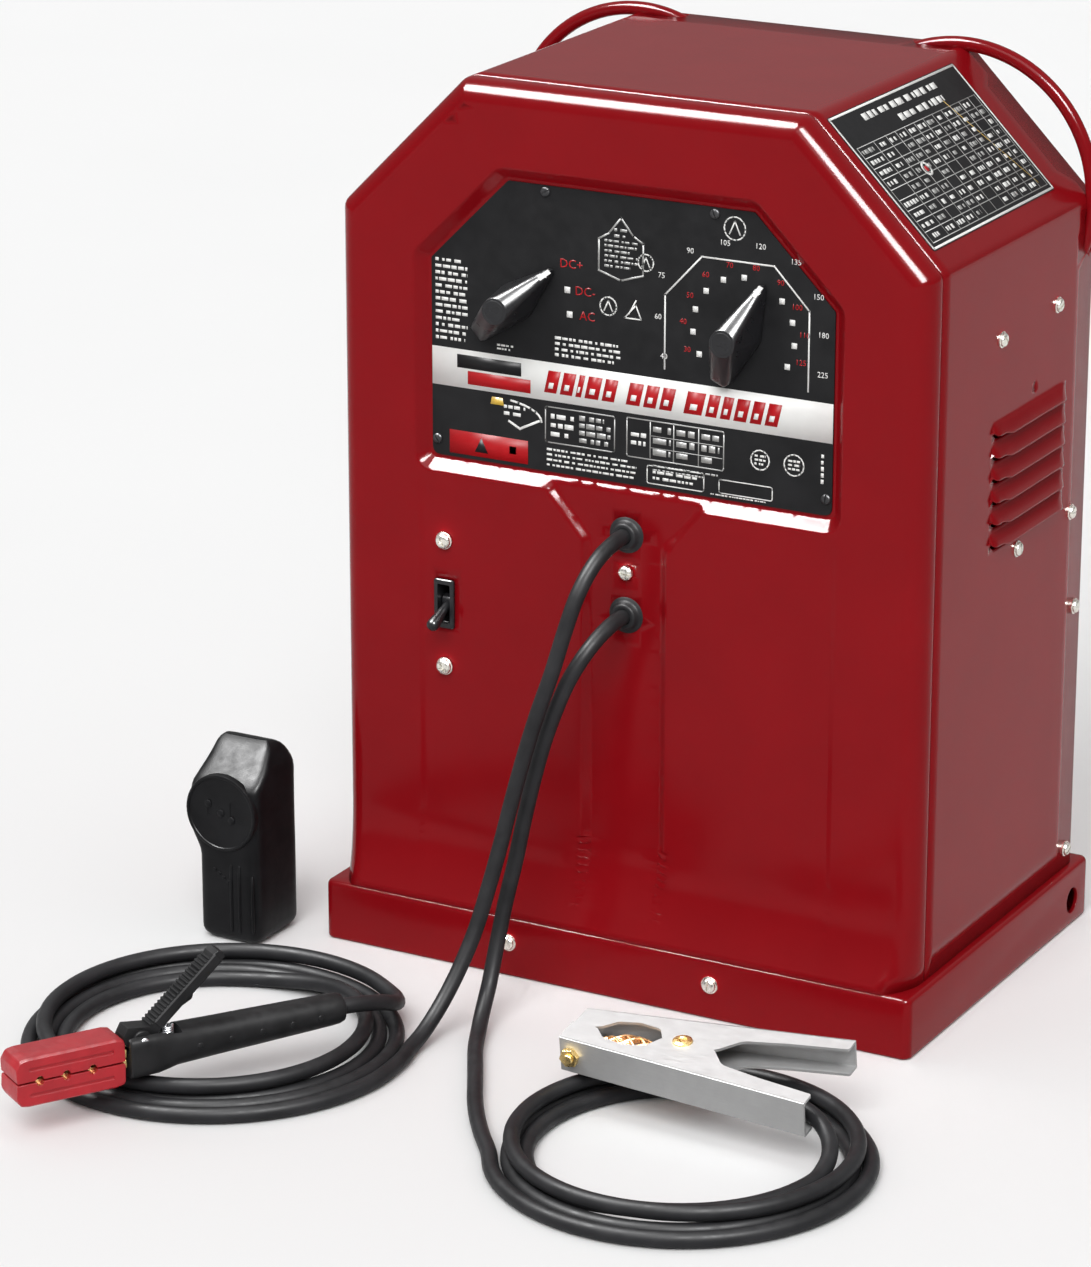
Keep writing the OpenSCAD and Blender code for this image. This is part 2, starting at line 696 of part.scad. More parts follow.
module fan_bracket() color(zinc) difference() {
    back = rear_y - sheet;
    front = fan_y - 20;
    low = fan_z - fan_r - 22;
    union() {
        both_sides() box([52, back - 2, low], [68, back, low + 16]);
        both_sides() box([66, front - 2, low], [68, back, low + 16]);
        box([-68, front - 2, low], [68, front, low + 16]);
        box([-14, front - 2, low], [14, front, fan_z + 26]);
    }
    rod_y(0, front - 3, front + 1, fan_z, 6);
    for (x = [-60, 60]) rod_y(x, back - 3, back + 1, fan_z - fan_r - 14, screw_hole_r);
}

module fan_motor() color([0.35, 0.36, 0.38]) difference() {
    front = fan_y - 22;
    rod_y(0, front - motor_l, front, fan_z, motor_r);
    rod_y(0, front - 22, front + 1, fan_z, 3 + run_fit);
}

// Hub with shaft and pitched blades
module fan_blades() color([0.2, 0.2, 0.22]) {
    rod_y(0, fan_y - 43, fan_y + 7, fan_z, 3);
    rod_y(0, fan_y - 6, fan_y + 8, fan_z, 12);
    for (a = [0:72:359]) translate([0, fan_y, fan_z]) rotate([0, a, 0]) rotate([0, 0, 26])
        box([-18, -0.8, 11], [18, 0.8, fan_r - 6]);
}

module terminal_board() color([0.45, 0.3, 0.18]) {
    back = plate_y + sheet;
    for (z = [top_hole_z, low_hole_z]) rod_y(0, back + 24, back + 46, z, 4);
    difference() {
        box([-34, back + 30, low_hole_z - 18], [34, back + 36, top_hole_z + 18]);
        for (z = [top_hole_z, low_hole_z]) rod_y(0, back + 29, back + 37, z, 4);
    }
    box([-34, back, bolt_z - 6], [-28, back + 31, bolt_z + 6]);
    box([28, back, bolt_z - 6], [34, back + 31, bolt_z + 6]);
}

module input_gland() color(black) translate([-150, rear_y, base_h + 50]) rotate([-90, 0, 0])
    rotate_extrude() polygon([[7, -sheet - 3], [17, -sheet - 3], [17, -sheet], [14, -sheet], [14, 0],
        [18, 0], [18, 3], [12, 9], [7, 9]]);

module electrode_cable_run() color(black) sweep(electrode_route, cord_r, [1, 0, 0]);
module electrode_cable_tail() color(black) sweep(electrode_tail, cord_r, [0, 0, 1]);
module work_cable_run() color(black) sweep(work_route, cord_r, [1, 0, 0]);
module work_cable_tail() color(black) sweep(work_tail, cord_r, [0, 0, 1]);

module cable_coil(centre, inner, outer) {
    translate(centre) rotate_extrude() translate([inner, 0]) square([outer - inner, coil_h]);
}

module electrode_cable_coil() color(black) cable_coil(electrode_centre, electrode_in, electrode_out);
module work_cable_coil() color(black) cable_coil(work_centre, work_in, work_out);

// Places a child from the electrode holder's own frame, tip at the origin and tail along +X
module at_holder() {
    translate(holder_at) rotate([0, 0, holder_turn]) children();
}

module hinge_hole(r) {
    translate([hinge_x, 30, hinge_z]) rotate([90, 0, 0]) cylinder(h = 60, r = r);
}

module holder_handle() color(black) at_holder() difference() {
    union() {
        translate([jaw_l + 4, 0, 0]) rotate([0, 90, 0]) rotate_extrude() polygon([[0, 0], [13.5, 0],
            [14, 3], [14, 26], [13, 32], [11, holder_l - jaw_l - 6], [9, holder_l - jaw_l - 4], [0, holder_l - jaw_l - 4]]);
        for (s = [-1, 1]) translate([hinge_x, s * (ear_in + ear_t / 2), 0])
            translate([-8, -ear_t / 2, 0]) cube([16, ear_t, hinge_z + 6]);
    }
    box([jaw_l, -ear_in, slot_z], [spring_x + 7, ear_in, 30]);
    hinge_hole(hinge_r + run_fit);
}

// Half of the jaws: a brass tongue in a red insulating block; the upper half is its mirror
module jaw_block() {
    difference() {
        box([0, -jaw_half_w, -jaw_top], [jaw_l, jaw_half_w, -jaw_split]);
        for (x = [14, 30, 46]) translate([x, 0, 0]) rotate([90, 0, 0])
            translate([0, 0, -20]) cylinder(h = 40, r = 2.4);
        for (s = [-1, 1]) box([-1, s * jaw_half_w - 2, -jaw_top + 5], [jaw_l - 10, s * jaw_half_w + 2, -jaw_top + 8]);
    }
}

module holder_jaw_lower() color(jaw_red) at_holder() {
    jaw_block();
    box([jaw_l - 1, -8, -9], [jaw_l + 4, 8, -2]);
}

module holder_jaw_upper() color(jaw_red) at_holder() mirror([0, 0, 1]) jaw_block();

module holder_lever() color(black) at_holder() difference() {
    union() {
        translate([hinge_x, 0, hinge_z]) rotate([90, 0, 0])
            translate([0, 0, -ear_in + gap]) cylinder(h = 2 * (ear_in - gap), r = 6.5);
        box([jaw_l, gap - ear_in, 4], [hinge_x, ear_in - gap, jaw_top - 1]);
        translate([0, 5, 0]) rotate([90, 0, 0]) linear_extrude(10)
            polygon([[84, 12], [90, 5], [150, 56], [146, 62], [140, 60], [80, 20], [jaw_l, jaw_top - 1],
                [jaw_l, 10]]);
        translate([0, 2, 0]) rotate([90, 0, 0]) linear_extrude(4)
            polygon([[96, 20], [120, 27], [126, 38], [118, 36]]);
    }
    hinge_hole(hinge_r + run_fit);
}

module holder_pin() color(steel) at_holder() translate([0, ear_in + ear_t, 0])
    translate([hinge_x, 0, hinge_z]) rotate([90, 0, 0]) cylinder(h = 2 * (ear_in + ear_t), r = hinge_r);

module holder_spring() color(steel) at_holder() translate([spring_x, 0, slot_z + gap]) difference() {
    cylinder(h = 11, r = 5);
    translate([0, 0, -1]) cylinder(h = 13, r = 3.6);
}

// Places a child from the clamp's own frame, rivet along Z and jaws towards -X
module at_clamp() {
    translate(clamp_at) rotate([0, 0, clamp_turn]) rotate([clamp_roll, 0, 0]) children();
}

function arm_y(x) = arm_jaw_y + arm_slope * (x - arm_front);

// Stamped channel arm on the +Y side; z half height h, flanges reach in to the rivet
module clamp_arm(h) {
    difference() {
        union() {
            translate([0, 0, -h]) linear_extrude(2 * h) polygon([[arm_front, arm_y(arm_front)],
                [arm_back, arm_y(arm_back)], [arm_back, arm_y(arm_back) - arm_t],
                [arm_front, arm_y(arm_front) - arm_t]]);
            for (z = [-h, h - arm_t]) translate([0, 0, z]) linear_extrude(arm_t) union() {
                polygon([[arm_front, arm_y(arm_front)], [arm_back, arm_y(arm_back)],
                    [arm_back, arm_y(arm_back) - 13], [36, 20], [9, -4], [-9, -4], [-18, 15],
                    [-52, 13], [-60, 3], [arm_front, 1]]);
                circle(r = 11);
            }
        }
        translate([0, 0, -30]) cylinder(h = 60, r = rivet_r + run_fit);
        translate([-68, 0, 0]) rotate([-90, 0, 0]) cylinder(h = 60, r = 3.6);
    }
}

module clamp_arm_front() color(zinc) at_clamp() mirror([0, 1, 0]) clamp_arm(arm_h / 2);

module clamp_arm_back() color(zinc) at_clamp() clamp_arm(arm_h / 2 - arm_t - nest);

module clamp_rivet() color(brass) at_clamp() {
    translate([0, 0, -arm_h / 2 - 2]) cylinder(h = arm_h + 4, r = rivet_r);
    for (z = [-arm_h / 2 - 2, arm_h / 2]) translate([0, 0, z]) cylinder(h = 2, r = 6.5);
}

// Contact bolt through the front arm
module clamp_contacts() color(brass) at_clamp() translate([-68, -1, 0]) rotate([90, 0, 0]) {
    cylinder(h = 5, r = 7);
    cylinder(h = 24, r = 3.5);
    translate([0, 0, 22.4]) cylinder(h = 4.5, r = 6.5);
}

module clamp_spring() color(steel) at_clamp() difference() {
    translate([0, 0, -6]) cylinder(h = 12, r = 9);
    translate([0, 0, -7]) cylinder(h = 14, r = 6.5);
}

module clamp_lug() color(copper) at_clamp() translate([14, -22, 0]) rotate([0, 90, 0]) {
    cylinder(h = 37, r = 7);
    box([-4, -7.6, 0], [4, 0, 14]);
}

module receptacle_body() color(black) {
    profile = [[0, 10], [10, 0], [46, 0], [55, 9], [54, 118], [48, 132], [34, 140], [22, 139],
        [4, 124], [0, 112]];
    difference() {
        translate(receptacle_at) along_x(-receptacle_w / 2, receptacle_w / 2) polygon(profile);
        translate(receptacle_at) rod_y(0, -1, 4, receptacle_face_z, receptacle_face_r + 0.2);
    }
}

module receptacle_face() color([0.14, 0.14, 0.15]) translate(receptacle_at) difference() {
    rod_y(0, -1.5, 4, receptacle_face_z, receptacle_face_r);
    for (x = [-9, 9]) box([x - 1.5, -3, receptacle_face_z - 2], [x + 1.5, 3, receptacle_face_z + 8]);
    rod_y(0, -3, 3, receptacle_face_z - 12, 3.5);
}

base_pan();
base_rails();
front_panel();
wrapper();
rear_panel();
handle_left();
handle_right();
nameplate();
chamfer_label();
nameplate_screws();
case_screws();
base_screws();
switch_screws();
panel_bolt();
cable_glands();
power_switch_body();
power_toggle();
polarity_knob();
polarity_shaft();
polarity_rotor();
current_knob();
current_shaft();
current_rotor();
switch_bushings();
switch_decks();
switch_contacts();
transformer_core();
primary_coil();
secondary_coil();
core_bolts();
choke_core();
choke_coil();
rectifier_bracket();
heat_sinks();
diodes();
fan_motor();
fan_bracket();
fan_blades();
terminal_board();
input_gland();
electrode_cable_run();
electrode_cable_coil();
electrode_cable_tail();
work_cable_run();
work_cable_coil();
work_cable_tail();
holder_handle();
holder_jaw_lower();
holder_jaw_upper();
holder_lever();
holder_pin();
holder_spring();
clamp_arm_front();
clamp_arm_back();
clamp_rivet();
clamp_contacts();
clamp_spring();
clamp_lug();
receptacle_body();
receptacle_face();
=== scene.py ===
import json
import math
import random

import bmesh
import bpy
from mathutils import Matrix, Vector
from mathutils.bvhtree import BVHTree
from mathutils.geometry import delaunay_2d_cdt


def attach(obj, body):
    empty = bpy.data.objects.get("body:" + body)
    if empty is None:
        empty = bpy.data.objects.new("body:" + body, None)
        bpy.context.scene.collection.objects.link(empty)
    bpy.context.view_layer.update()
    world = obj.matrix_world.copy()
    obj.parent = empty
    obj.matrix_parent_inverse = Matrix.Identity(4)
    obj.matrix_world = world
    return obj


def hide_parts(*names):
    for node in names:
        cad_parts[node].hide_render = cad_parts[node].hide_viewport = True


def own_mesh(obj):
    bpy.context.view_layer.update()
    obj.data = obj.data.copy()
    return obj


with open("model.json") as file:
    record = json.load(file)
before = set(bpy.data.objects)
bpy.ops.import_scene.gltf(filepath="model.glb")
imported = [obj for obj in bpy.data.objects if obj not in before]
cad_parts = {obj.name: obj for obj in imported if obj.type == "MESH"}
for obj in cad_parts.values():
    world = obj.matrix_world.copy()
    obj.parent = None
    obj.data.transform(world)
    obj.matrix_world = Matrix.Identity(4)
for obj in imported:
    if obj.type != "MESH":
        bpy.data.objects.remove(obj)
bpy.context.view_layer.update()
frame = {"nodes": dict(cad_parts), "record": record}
MM = 0.001
HOUSING = "housing"

# Sizes in millimetres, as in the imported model
BASE_W, BASE_D, BASE_H = 440, 296, 42
CASE_W, CASE_H = 428, 606
FRONT_Y, SEAM_Y, REAR_Y = -130, -112, 128
CHAMFER, BEND_R, RIM_R = 92, 10, 15
FLARE_H, FLARE_OUT = 58, 17
PLATE_W, PLATE_Z, PLATE_TOP, PLATE_CUT, PLATE_T = 294, 350, 543, 58, 1.2
RECESS = 8
PLATE_Y = FRONT_Y + RECESS
DIAL_X, DIAL_Z = 82, 463
SWITCH_X, SWITCH_Z = -134, 250
TOP_HOLE_Z, BOLT_Z, LOW_HOLE_Z = 317, 291, 262
CABLE_D = 10.5
HOLDER_AT, HOLDER_TURN = Vector((-223, -520, 38)), math.radians(58.2)
CLAMP_AT = Vector((131, -292, 39.5))
RECEPTACLE_AT = Vector((-276.5, -189, 0))


def placed(name, data):
    """New object in the scene."""
    made = bpy.data.objects.new(name, data)
    bpy.context.scene.collection.objects.link(made)
    return made


def bevelled(made, width, angle, segments=2):
    """Rounds the edges that are sharper than an angle."""
    modifier = made.modifiers.new("bevel", "BEVEL")
    modifier.width, modifier.segments = width * MM, segments
    modifier.limit_method, modifier.angle_limit = "ANGLE", math.radians(angle)
    modifier.harden_normals = True
    return modifier


def thickened(made, thick, offset=-1):
    modifier = made.modifiers.new("thickness", "SOLIDIFY")
    modifier.thickness, modifier.offset = thick * MM, offset


def ring(r, z, n):
    """Points of a level circle."""
    return [(r * math.cos(2 * math.pi * k / n), r * math.sin(2 * math.pi * k / n), z) for k in range(n)]


# ---------------------------------------------------------------- camera, light and floor
def add_camera():
    data = bpy.data.cameras.new("camera")
    data.lens = 137.25
    data.sensor_width = 36
    data.sensor_fit = "AUTO"
    data.clip_end = 200
    camera = placed("camera", data)
    camera.location = (1.39896, -2.76839, 1.26734)
    camera.rotation_euler = (math.radians(90 - 18.7995), 0, math.radians(28.8955))
    bpy.context.scene.camera = camera


def shine_light(name, look, way, distance, size, radiance):
    """Soft box that is seen only in reflections, so that it draws highlights on the edges."""
    data = bpy.data.lights.new(name, "AREA")
    data.shape = "RECTANGLE"
    data.size, data.size_y = size
    data.energy = radiance * math.pi * size[0] * size[1]
    light = placed(name, data)
    light.location = Vector(look) + Vector(way).normalized() * distance
    light.rotation_euler = Vector(way).to_track_quat("Z", "Y").to_euler()
    light.visible_diffuse = False


def add_world():
    """Sky that darkens towards the horizon, a broad soft key and two soft boxes for the highlights."""
    world = bpy.data.worlds.new("studio")
    world.use_nodes = True
    nodes, links = world.node_tree.nodes, world.node_tree.links
    place = nodes.new("ShaderNodeTexCoord")
    height = nodes.new("ShaderNodeSeparateXYZ")
    strength = nodes.new("ShaderNodeMapRange")
    for key, value in (("From Min", 0.05), ("From Max", 0.6), ("To Min", 0.2), ("To Max", 0.68)):
        strength.inputs[key].default_value = value
    links.new(place.outputs["Generated"], height.inputs["Vector"])
    links.new(height.outputs["Z"], strength.inputs["Value"])
    links.new(strength.outputs["Result"], nodes["Background"].inputs["Strength"])
    nodes["Background"].inputs["Color"].default_value = (1, 1, 1, 1)
    bpy.context.scene.world = world
    bpy.context.scene.view_settings.view_transform = "Standard"
    sun = bpy.data.lights.new("key", "SUN")
    sun.energy, sun.angle = 2.05, math.radians(40)
    placed("key", sun).rotation_euler = Vector((0.16, -0.66, 0.73)).to_track_quat("Z", "Y").to_euler()
    shine_light("top_box", (0, -0.12, 0.5), (-0.46, -0.32, 0.83), 2.3, (1.0, 1.2), 130)
    shine_light("corner_box", (0.18, -0.12, 0.55), (0.52, -0.55, 0.65), 2.3, (0.9, 0.9), 130)


# ---------------------------------------------------------------- materials
class Finish:
    """A material with a Principled shader and short ways to add nodes to it."""

    def __init__(self, name, **values):
        self.material = bpy.data.materials.new(name)
        self.material.use_nodes = True
        self.tree = self.material.node_tree
        self.shader = self.tree.nodes["Principled BSDF"]
        for key, value in values.items():
            self.shader.inputs[key].default_value = value
        self.place = self.node("ShaderNodeTexCoord").outputs["Object"]

    def node(self, kind, **values):
        made = self.tree.nodes.new(kind)
        for key, value in values.items():
            if key in made.inputs:
                made.inputs[key].default_value = value
            else:
                setattr(made, key, value)
        return made

    def link(self, a, b):
        self.tree.links.new(a, b)

    def noise(self, scale, detail=3.0, rough=0.5, stretch=None):
        made = self.node("ShaderNodeTexNoise", Scale=scale, Detail=detail, Roughness=rough)
        place = self.place
        if stretch:
            moved = self.node("ShaderNodeMapping", Scale=stretch)
            self.link(place, moved.inputs["Vector"])
            place = moved.outputs["Vector"]
        self.link(place, made.inputs["Vector"])
        return made.outputs["Fac"]

    def ramp(self, source, stops):
        made = self.node("ShaderNodeValToRGB")
        ramp = made.color_ramp
        while len(ramp.elements) < len(stops):
            ramp.elements.new(0.5)
        for element, (at, color) in zip(ramp.elements, stops):
            element.position = at
            element.color = (*color, 1)
        self.link(source, made.inputs["Fac"])
        return made.outputs["Color"]

    def span(self, source, low, high, start=0.3, end=0.7):
        made = self.node("ShaderNodeMapRange")
        for key, value in (("From Min", start), ("From Max", end), ("To Min", low), ("To Max", high)):
            made.inputs[key].default_value = value
        self.link(source, made.inputs["Value"])
        return made.outputs["Result"]

    def color(self, source):
        self.link(source, self.shader.inputs["Base Color"])

    def rough(self, source):
        self.link(source, self.shader.inputs["Roughness"])

    def bump(self, source, strength, distance):
        made = self.node("ShaderNodeBump", Strength=strength, Distance=distance)
        self.link(source, made.inputs["Height"])
        before = self.shader.inputs["Normal"]
        if before.is_linked:
            self.link(before.links[0].from_socket, made.inputs["Normal"])
        self.link(made.outputs["Normal"], before)


def tone(color, factor):
    return tuple(min(1, c * factor) for c in color)


def plain_finish(name, color, drift, rough, grain, bump, specular=0.5, coarse=None, metallic=0.0):
    """Colour that drifts a little, uneven gloss and a fine grain, with coarser unevenness under it."""
    f = Finish(name, **{"Specular IOR Level": specular, "Metallic": metallic})
    f.color(f.ramp(f.noise(grain * 0.04, 4), [(0.3, tone(color, 1 - drift)), (0.7, tone(color, 1 + drift))]))
    f.rough(f.span(f.noise(grain * 0.15, 4), *rough))
    f.bump(f.noise(grain, 3), bump, 0.0004)
    if coarse:
        f.bump(f.noise(*coarse[:2]), *coarse[2:])
    return f.material


def metal(name, color, rough, stretch, drift=0.1, metallic=1.0):
    """Plated or brushed metal: long fine grain over mottled plating."""
    f = Finish(name, Metallic=metallic)
    grain = f.noise(900, 3, 0.6, stretch)
    f.color(f.ramp(f.noise(90, 5, 0.6), [(0.25, tone(color, 1 - drift)), (0.75, tone(color, 1 + drift))]))
    f.rough(f.span(grain, *rough))
    f.bump(grain, 0.05, 0.0002)
    return f.material


def banded(name, metallic, scale, distortion, across, stops, rough, bump):
    """Bands of stacked sheets or of wire turns."""
    f = Finish(name, Metallic=metallic)
    wave = f.node("ShaderNodeTexWave", Scale=scale, Distortion=distortion, bands_direction=across)
    f.link(f.place, wave.inputs["Vector"])
    f.color(f.ramp(wave.outputs["Fac"], stops))
    f.rough(f.span(f.noise(rough[0]), *rough[1:]))
    f.bump(wave.outputs["Fac"], *bump)
    return f.material


def board():
    f = Finish("brown_board")
    weave = f.noise(700, 4, 0.6, (1, 1, 0.2))
    f.color(f.ramp(weave, [(0.3, (0.14, 0.07, 0.03)), (0.7, (0.27, 0.15, 0.07))]))
    f.rough(f.span(f.noise(120), 0.4, 0.6))
    f.bump(weave, 0.1, 0.0003)
    return f.material


# Colour, its drift, roughness, scale of the grain, bump, specular level, coarse bump, metallic
PLAIN = {
    "red_enamel": ((0.225, 0.0035, 0.0065), 0.04, (0.13, 0.17), 500, 0.004, 0.1, (40, 2, 0.006, 0.0012)),
    "black_plate": ((0.012, 0.012, 0.013), 0.2, (0.38, 0.5), 900, 0.05, 0.1),
    "black_screw": ((0.03, 0.03, 0.032), 0.3, (0.3, 0.5), 1500, 0.1, 0.5, None, 0.5),
    "black_rubber": ((0.022, 0.022, 0.024), 0.25, (0.4, 0.54), 900, 0.05, 0.1, (140, 3, 0.08, 0.0008)),
    "black_plastic": ((0.014, 0.014, 0.016), 0.15, (0.26, 0.34), 900, 0.008, 0.3),
    "black_phenolic": ((0.018, 0.018, 0.019), 0.3, (0.36, 0.52), 1400, 0.12, 0.1),
    "bakelite": ((0.008, 0.008, 0.009), 0.3, (0.32, 0.46), 1100, 0.08, 0.1),
    "red_insulator": ((0.42, 0.012, 0.02), 0.12, (0.3, 0.45), 1600, 0.1, 0.3, (300, 4, 0.05, 0.0006)),
    "motor_steel": ((0.12, 0.125, 0.13), 0.15, (0.4, 0.55), 900, 0.08),
    "white_print": ((0.82, 0.82, 0.8), 0.06, (0.4, 0.52), 900, 0.03, 0.1),
    "red_print": ((0.45, 0.008, 0.012), 0.12, (0.38, 0.5), 900, 0.03, 0.1),
    "yellow_print": ((0.75, 0.48, 0.05), 0.1, (0.4, 0.5), 900, 0.03),
    "grey_print": ((0.32, 0.32, 0.31), 0.12, (0.42, 0.55), 900, 0.03),
    "floor": ((0.86, 0.86, 0.86), 0.006, (0.6, 0.7), 60, 0.01, 0.0),
}
# Colour, roughness, stretch of the grain, drift of the colour, metallic
METALS = {
    "zinc_screw": ((0.74, 0.72, 0.66), (0.16, 0.34), (1, 1, 0.2), 0.14),
    "zinc_sheet": ((0.3, 0.3, 0.3), (0.5, 0.6), (0.12, 1, 1), 0.06, 0.5),
    "steel": ((0.55, 0.56, 0.58), (0.2, 0.36), (1, 1, 0.1)),
    "brass": ((0.72, 0.53, 0.22), (0.2, 0.38), (1, 1, 0.2), 0.18),
    "aluminium": ((0.78, 0.79, 0.8), (0.24, 0.4), (0.1, 1, 1)),
    "braid": ((0.5, 0.3, 0.15), (0.3, 0.5), (1, 1, 1), 0.4),
}


def make_finishes():
    made = {name: plain_finish(name, *values) for name, values in PLAIN.items()}
    made.update({name: metal(name, *values) for name, values in METALS.items()})
    made["copper"] = banded("copper", 0.8, 90.0, 0.3, "Z",
                            [(0.1, (0.18, 0.06, 0.02)), (0.6, (0.62, 0.29, 0.13))],
                            (200, 0.3, 0.5), (0.3, 0.0006))
    made["laminated_iron"] = banded("laminated_iron", 0.6, 320.0, 0.4, "Y",
                                    [(0.2, (0.09, 0.09, 0.1)), (0.8, (0.22, 0.21, 0.2))],
                                    (60, 0.45, 0.65), (0.2, 0.0004))
    made["brown_board"] = board()
    return made


# ---------------------------------------------------------------- mesh helpers
def to_mesh(name, verts, faces):
    """Mesh from millimetres, with its loose points dropped and its faces turned outward."""
    mesh = bpy.data.meshes.new(name)
    mesh.from_pydata([Vector(v) * MM for v in verts], [], faces)
    bm = bmesh.new()
    bm.from_mesh(mesh)
    bmesh.ops.remove_doubles(bm, verts=bm.verts, dist=1e-6)
    bmesh.ops.delete(bm, geom=[v for v in bm.verts if not v.link_faces], context="VERTS")
    bmesh.ops.recalc_face_normals(bm, faces=bm.faces)
    bm.to_mesh(mesh)
    bm.free()
    return mesh


def piece(name, verts, faces, finish, body=HOUSING, slot=None, stands_for=(), sharp=32, bevel=0.0,
          segments=2, thick=0.0):
    mesh = to_mesh(name, verts, faces)
    mesh.materials.append(FINISH[finish])
    mesh.polygons.foreach_set("use_smooth", [True] * len(mesh.polygons))
    mesh.set_sharp_from_angle(angle=math.radians(sharp))
    made = placed(name, mesh)
    if thick:
        thickened(made, thick)
    if bevel:
        bevelled(made, bevel, sharp, segments).miter_outer = "MITER_ARC"
    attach(made, body)
    if stands_for:
        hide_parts(*stands_for)
    return made


class Shape:
    """Vertices and faces that are gathered for one piece."""

    def __init__(self):
        self.verts, self.faces = [], []

    def add(self, verts, faces, move=None):
        base = len(self.verts)
        self.verts += [move @ Vector(v) for v in verts] if move else [Vector(v) for v in verts]
        self.faces += [tuple(base + i for i in f) for f in faces]
        return self

    def loft(self, rows, closed=True, caps=True, move=None):
        """Skins rows of equally many points."""
        n = len(rows[0])
        verts = [p for row in rows for p in row]
        last = n if closed else n - 1
        faces = [(i * n + k, (i + 1) * n + k, (i + 1) * n + (k + 1) % n, i * n + (k + 1) % n)
                 for i in range(len(rows) - 1) for k in range(last)]
        if caps:
            faces += [tuple(range(n)), tuple((len(rows) - 1) * n + k for k in reversed(range(n)))]
        return self.add(verts, faces, move)

    def prism(self, outline, low, high, move=None):
        """Outline in x and y, from z low to z high."""
        return self.loft([[(x, y, low) for x, y in outline], [(x, y, high) for x, y in outline]], move=move)

    def lathe(self, profile, move=None, n=40):
        """Profile of radius and height, turned about Z; ends on the axis close it."""
        return self.loft([ring(r, z, n) for r, z in profile], move=move)

    def box(self, low, high, move=None):
        (x0, y0, z0), (x1, y1, z1) = low, high
        return self.prism(corners(x0, y0, x1, y1), z0, z1, move)

    def tube(self, path, radius, n=12, move=None):
        rows = []
        side = Vector((0.13, 0.21, 0.97))
        for i, p in enumerate(path):
            along = (Vector(path[min(i + 1, len(path) - 1)]) - Vector(path[max(i - 1, 0)])).normalized()
            a = along.cross(side).normalized()
            side = a.cross(along).normalized()
            r = radius[i] if isinstance(radius, (list, tuple)) else radius
            rows.append([Vector(p) + a * x + side * y for x, y, _ in ring(r, 0, n)])
        return self.loft(rows, move=move)

    def make(self, name, finish, **options):
        return piece(name, self.verts, self.faces, finish, **options)


def arc(cx, cy, r, start, end, n):
    """Points of an arc, angles in degrees."""
    return [(cx + r * math.cos(math.radians(start + (end - start) * i / n)),
             cy + r * math.sin(math.radians(start + (end - start) * i / n))) for i in range(n + 1)]


def rounded(points, radius, n=5):
    """Closed outline with its corners rounded."""
    out = []
    for i, p in enumerate(points):
        p = Vector(p)
        a, b = (Vector(points[i - 1]) - p), (Vector(points[(i + 1) % len(points)]) - p)
        r = radius[i] if isinstance(radius, (list, tuple)) else radius
        if r <= 0:
            out.append(tuple(p))
            continue
        half = a.angle(b) / 2
        cut = min(r / math.tan(half), 0.49 * a.length, 0.49 * b.length)
        start, end = p + a.normalized() * cut, p + b.normalized() * cut
        out += [tuple(start.lerp(p, t).lerp(p.lerp(end, t), t)) for t in [k / n for k in range(n + 1)]]
    return out


def corners(x0, y0, x1, y1):
    return [(x0, y0), (x1, y0), (x1, y1), (x0, y1)]


def spread(points, step, closed=True):
    """Adds points so that none of the sides is longer than step."""
    out = []
    count = len(points) if closed else len(points) - 1
    for i in range(count):
        a, b = Vector(points[i]), Vector(points[(i + 1) % len(points)])
        n = max(1, math.ceil((b - a).length / step))
        out += [tuple(a.lerp(b, k / n)) for k in range(n)]
    return out if closed else out + [tuple(points[-1])]


def inside_distance(loop, x, y):
    """Distance to a closed outline, positive inside it."""
    best, within = 1e18, False
    for i, (x1, y1) in enumerate(loop):
        x2, y2 = loop[i - 1]
        dx, dy = x2 - x1, y2 - y1
        t = max(0.0, min(1.0, ((x - x1) * dx + (y - y1) * dy) / (dx * dx + dy * dy)))
        best = min(best, math.hypot(x - x1 - t * dx, y - y1 - t * dy))
        if (y1 > y) != (y2 > y) and x < (x2 - x1) * (y - y1) / (y2 - y1) + x1:
            within = not within
    return best if within else -best


def offset_points(loop, distances, step):
    """Points at the given inside distances of an outline."""
    out = []
    for d in distances:
        for i, p in enumerate(loop):
            a, b = Vector(p), Vector(loop[(i + 1) % len(loop)])
            along = (b - a).normalized()
            normal = Vector((-along.y, along.x))
            n = max(1, round((b - a).length / step))
            made = [a.lerp(b, k / n) + normal * s * abs(d) for k in range(n + 1) for s in (-1, 1)]
            if abs(d) > 0.5:
                made += [a + Vector((math.cos(t), math.sin(t))) * abs(d)
                         for t in [2 * math.pi * k / 24 for k in range(24)]]
            out += [tuple(q) for q in made if abs(inside_distance(loop, *q) - d) < 0.05]
    kept = {}
    for q in out:
        kept.setdefault((round(q[0] * 1.5), round(q[1] * 1.5)), q)
    return list(kept.values())


def fill(outline, holes=(), lines=(), points=()):
    """Triangles over an outline, with holes, forced lines and extra points."""
    coords, edges = [], []
    for loop, closed in [(outline, True)] + [(h, True) for h in holes] + [(s, False) for s in lines]:
        base, n = len(coords), len(loop)
        coords += [Vector(p) for p in loop]
        edges += [(base + i, base + (i + 1) % n) for i in range(n if closed else n - 1)]
    coords += [Vector(p) for p in points]
    verts, _, faces, *_ = delaunay_2d_cdt(coords, edges, [], 0, 1e-4)
    kept = []
    for f in faces:
        x, y = sum((verts[i] for i in f), Vector((0, 0))) / len(f)
        if inside_distance(outline, x, y) > 0 and all(inside_distance(h, x, y) < 0 for h in holes):
            kept.append(tuple(f))
    return [tuple(v) for v in verts], kept


def smooth_step(t):
    t = max(0.0, min(1.0, t))
    return t * t * (3 - 2 * t)


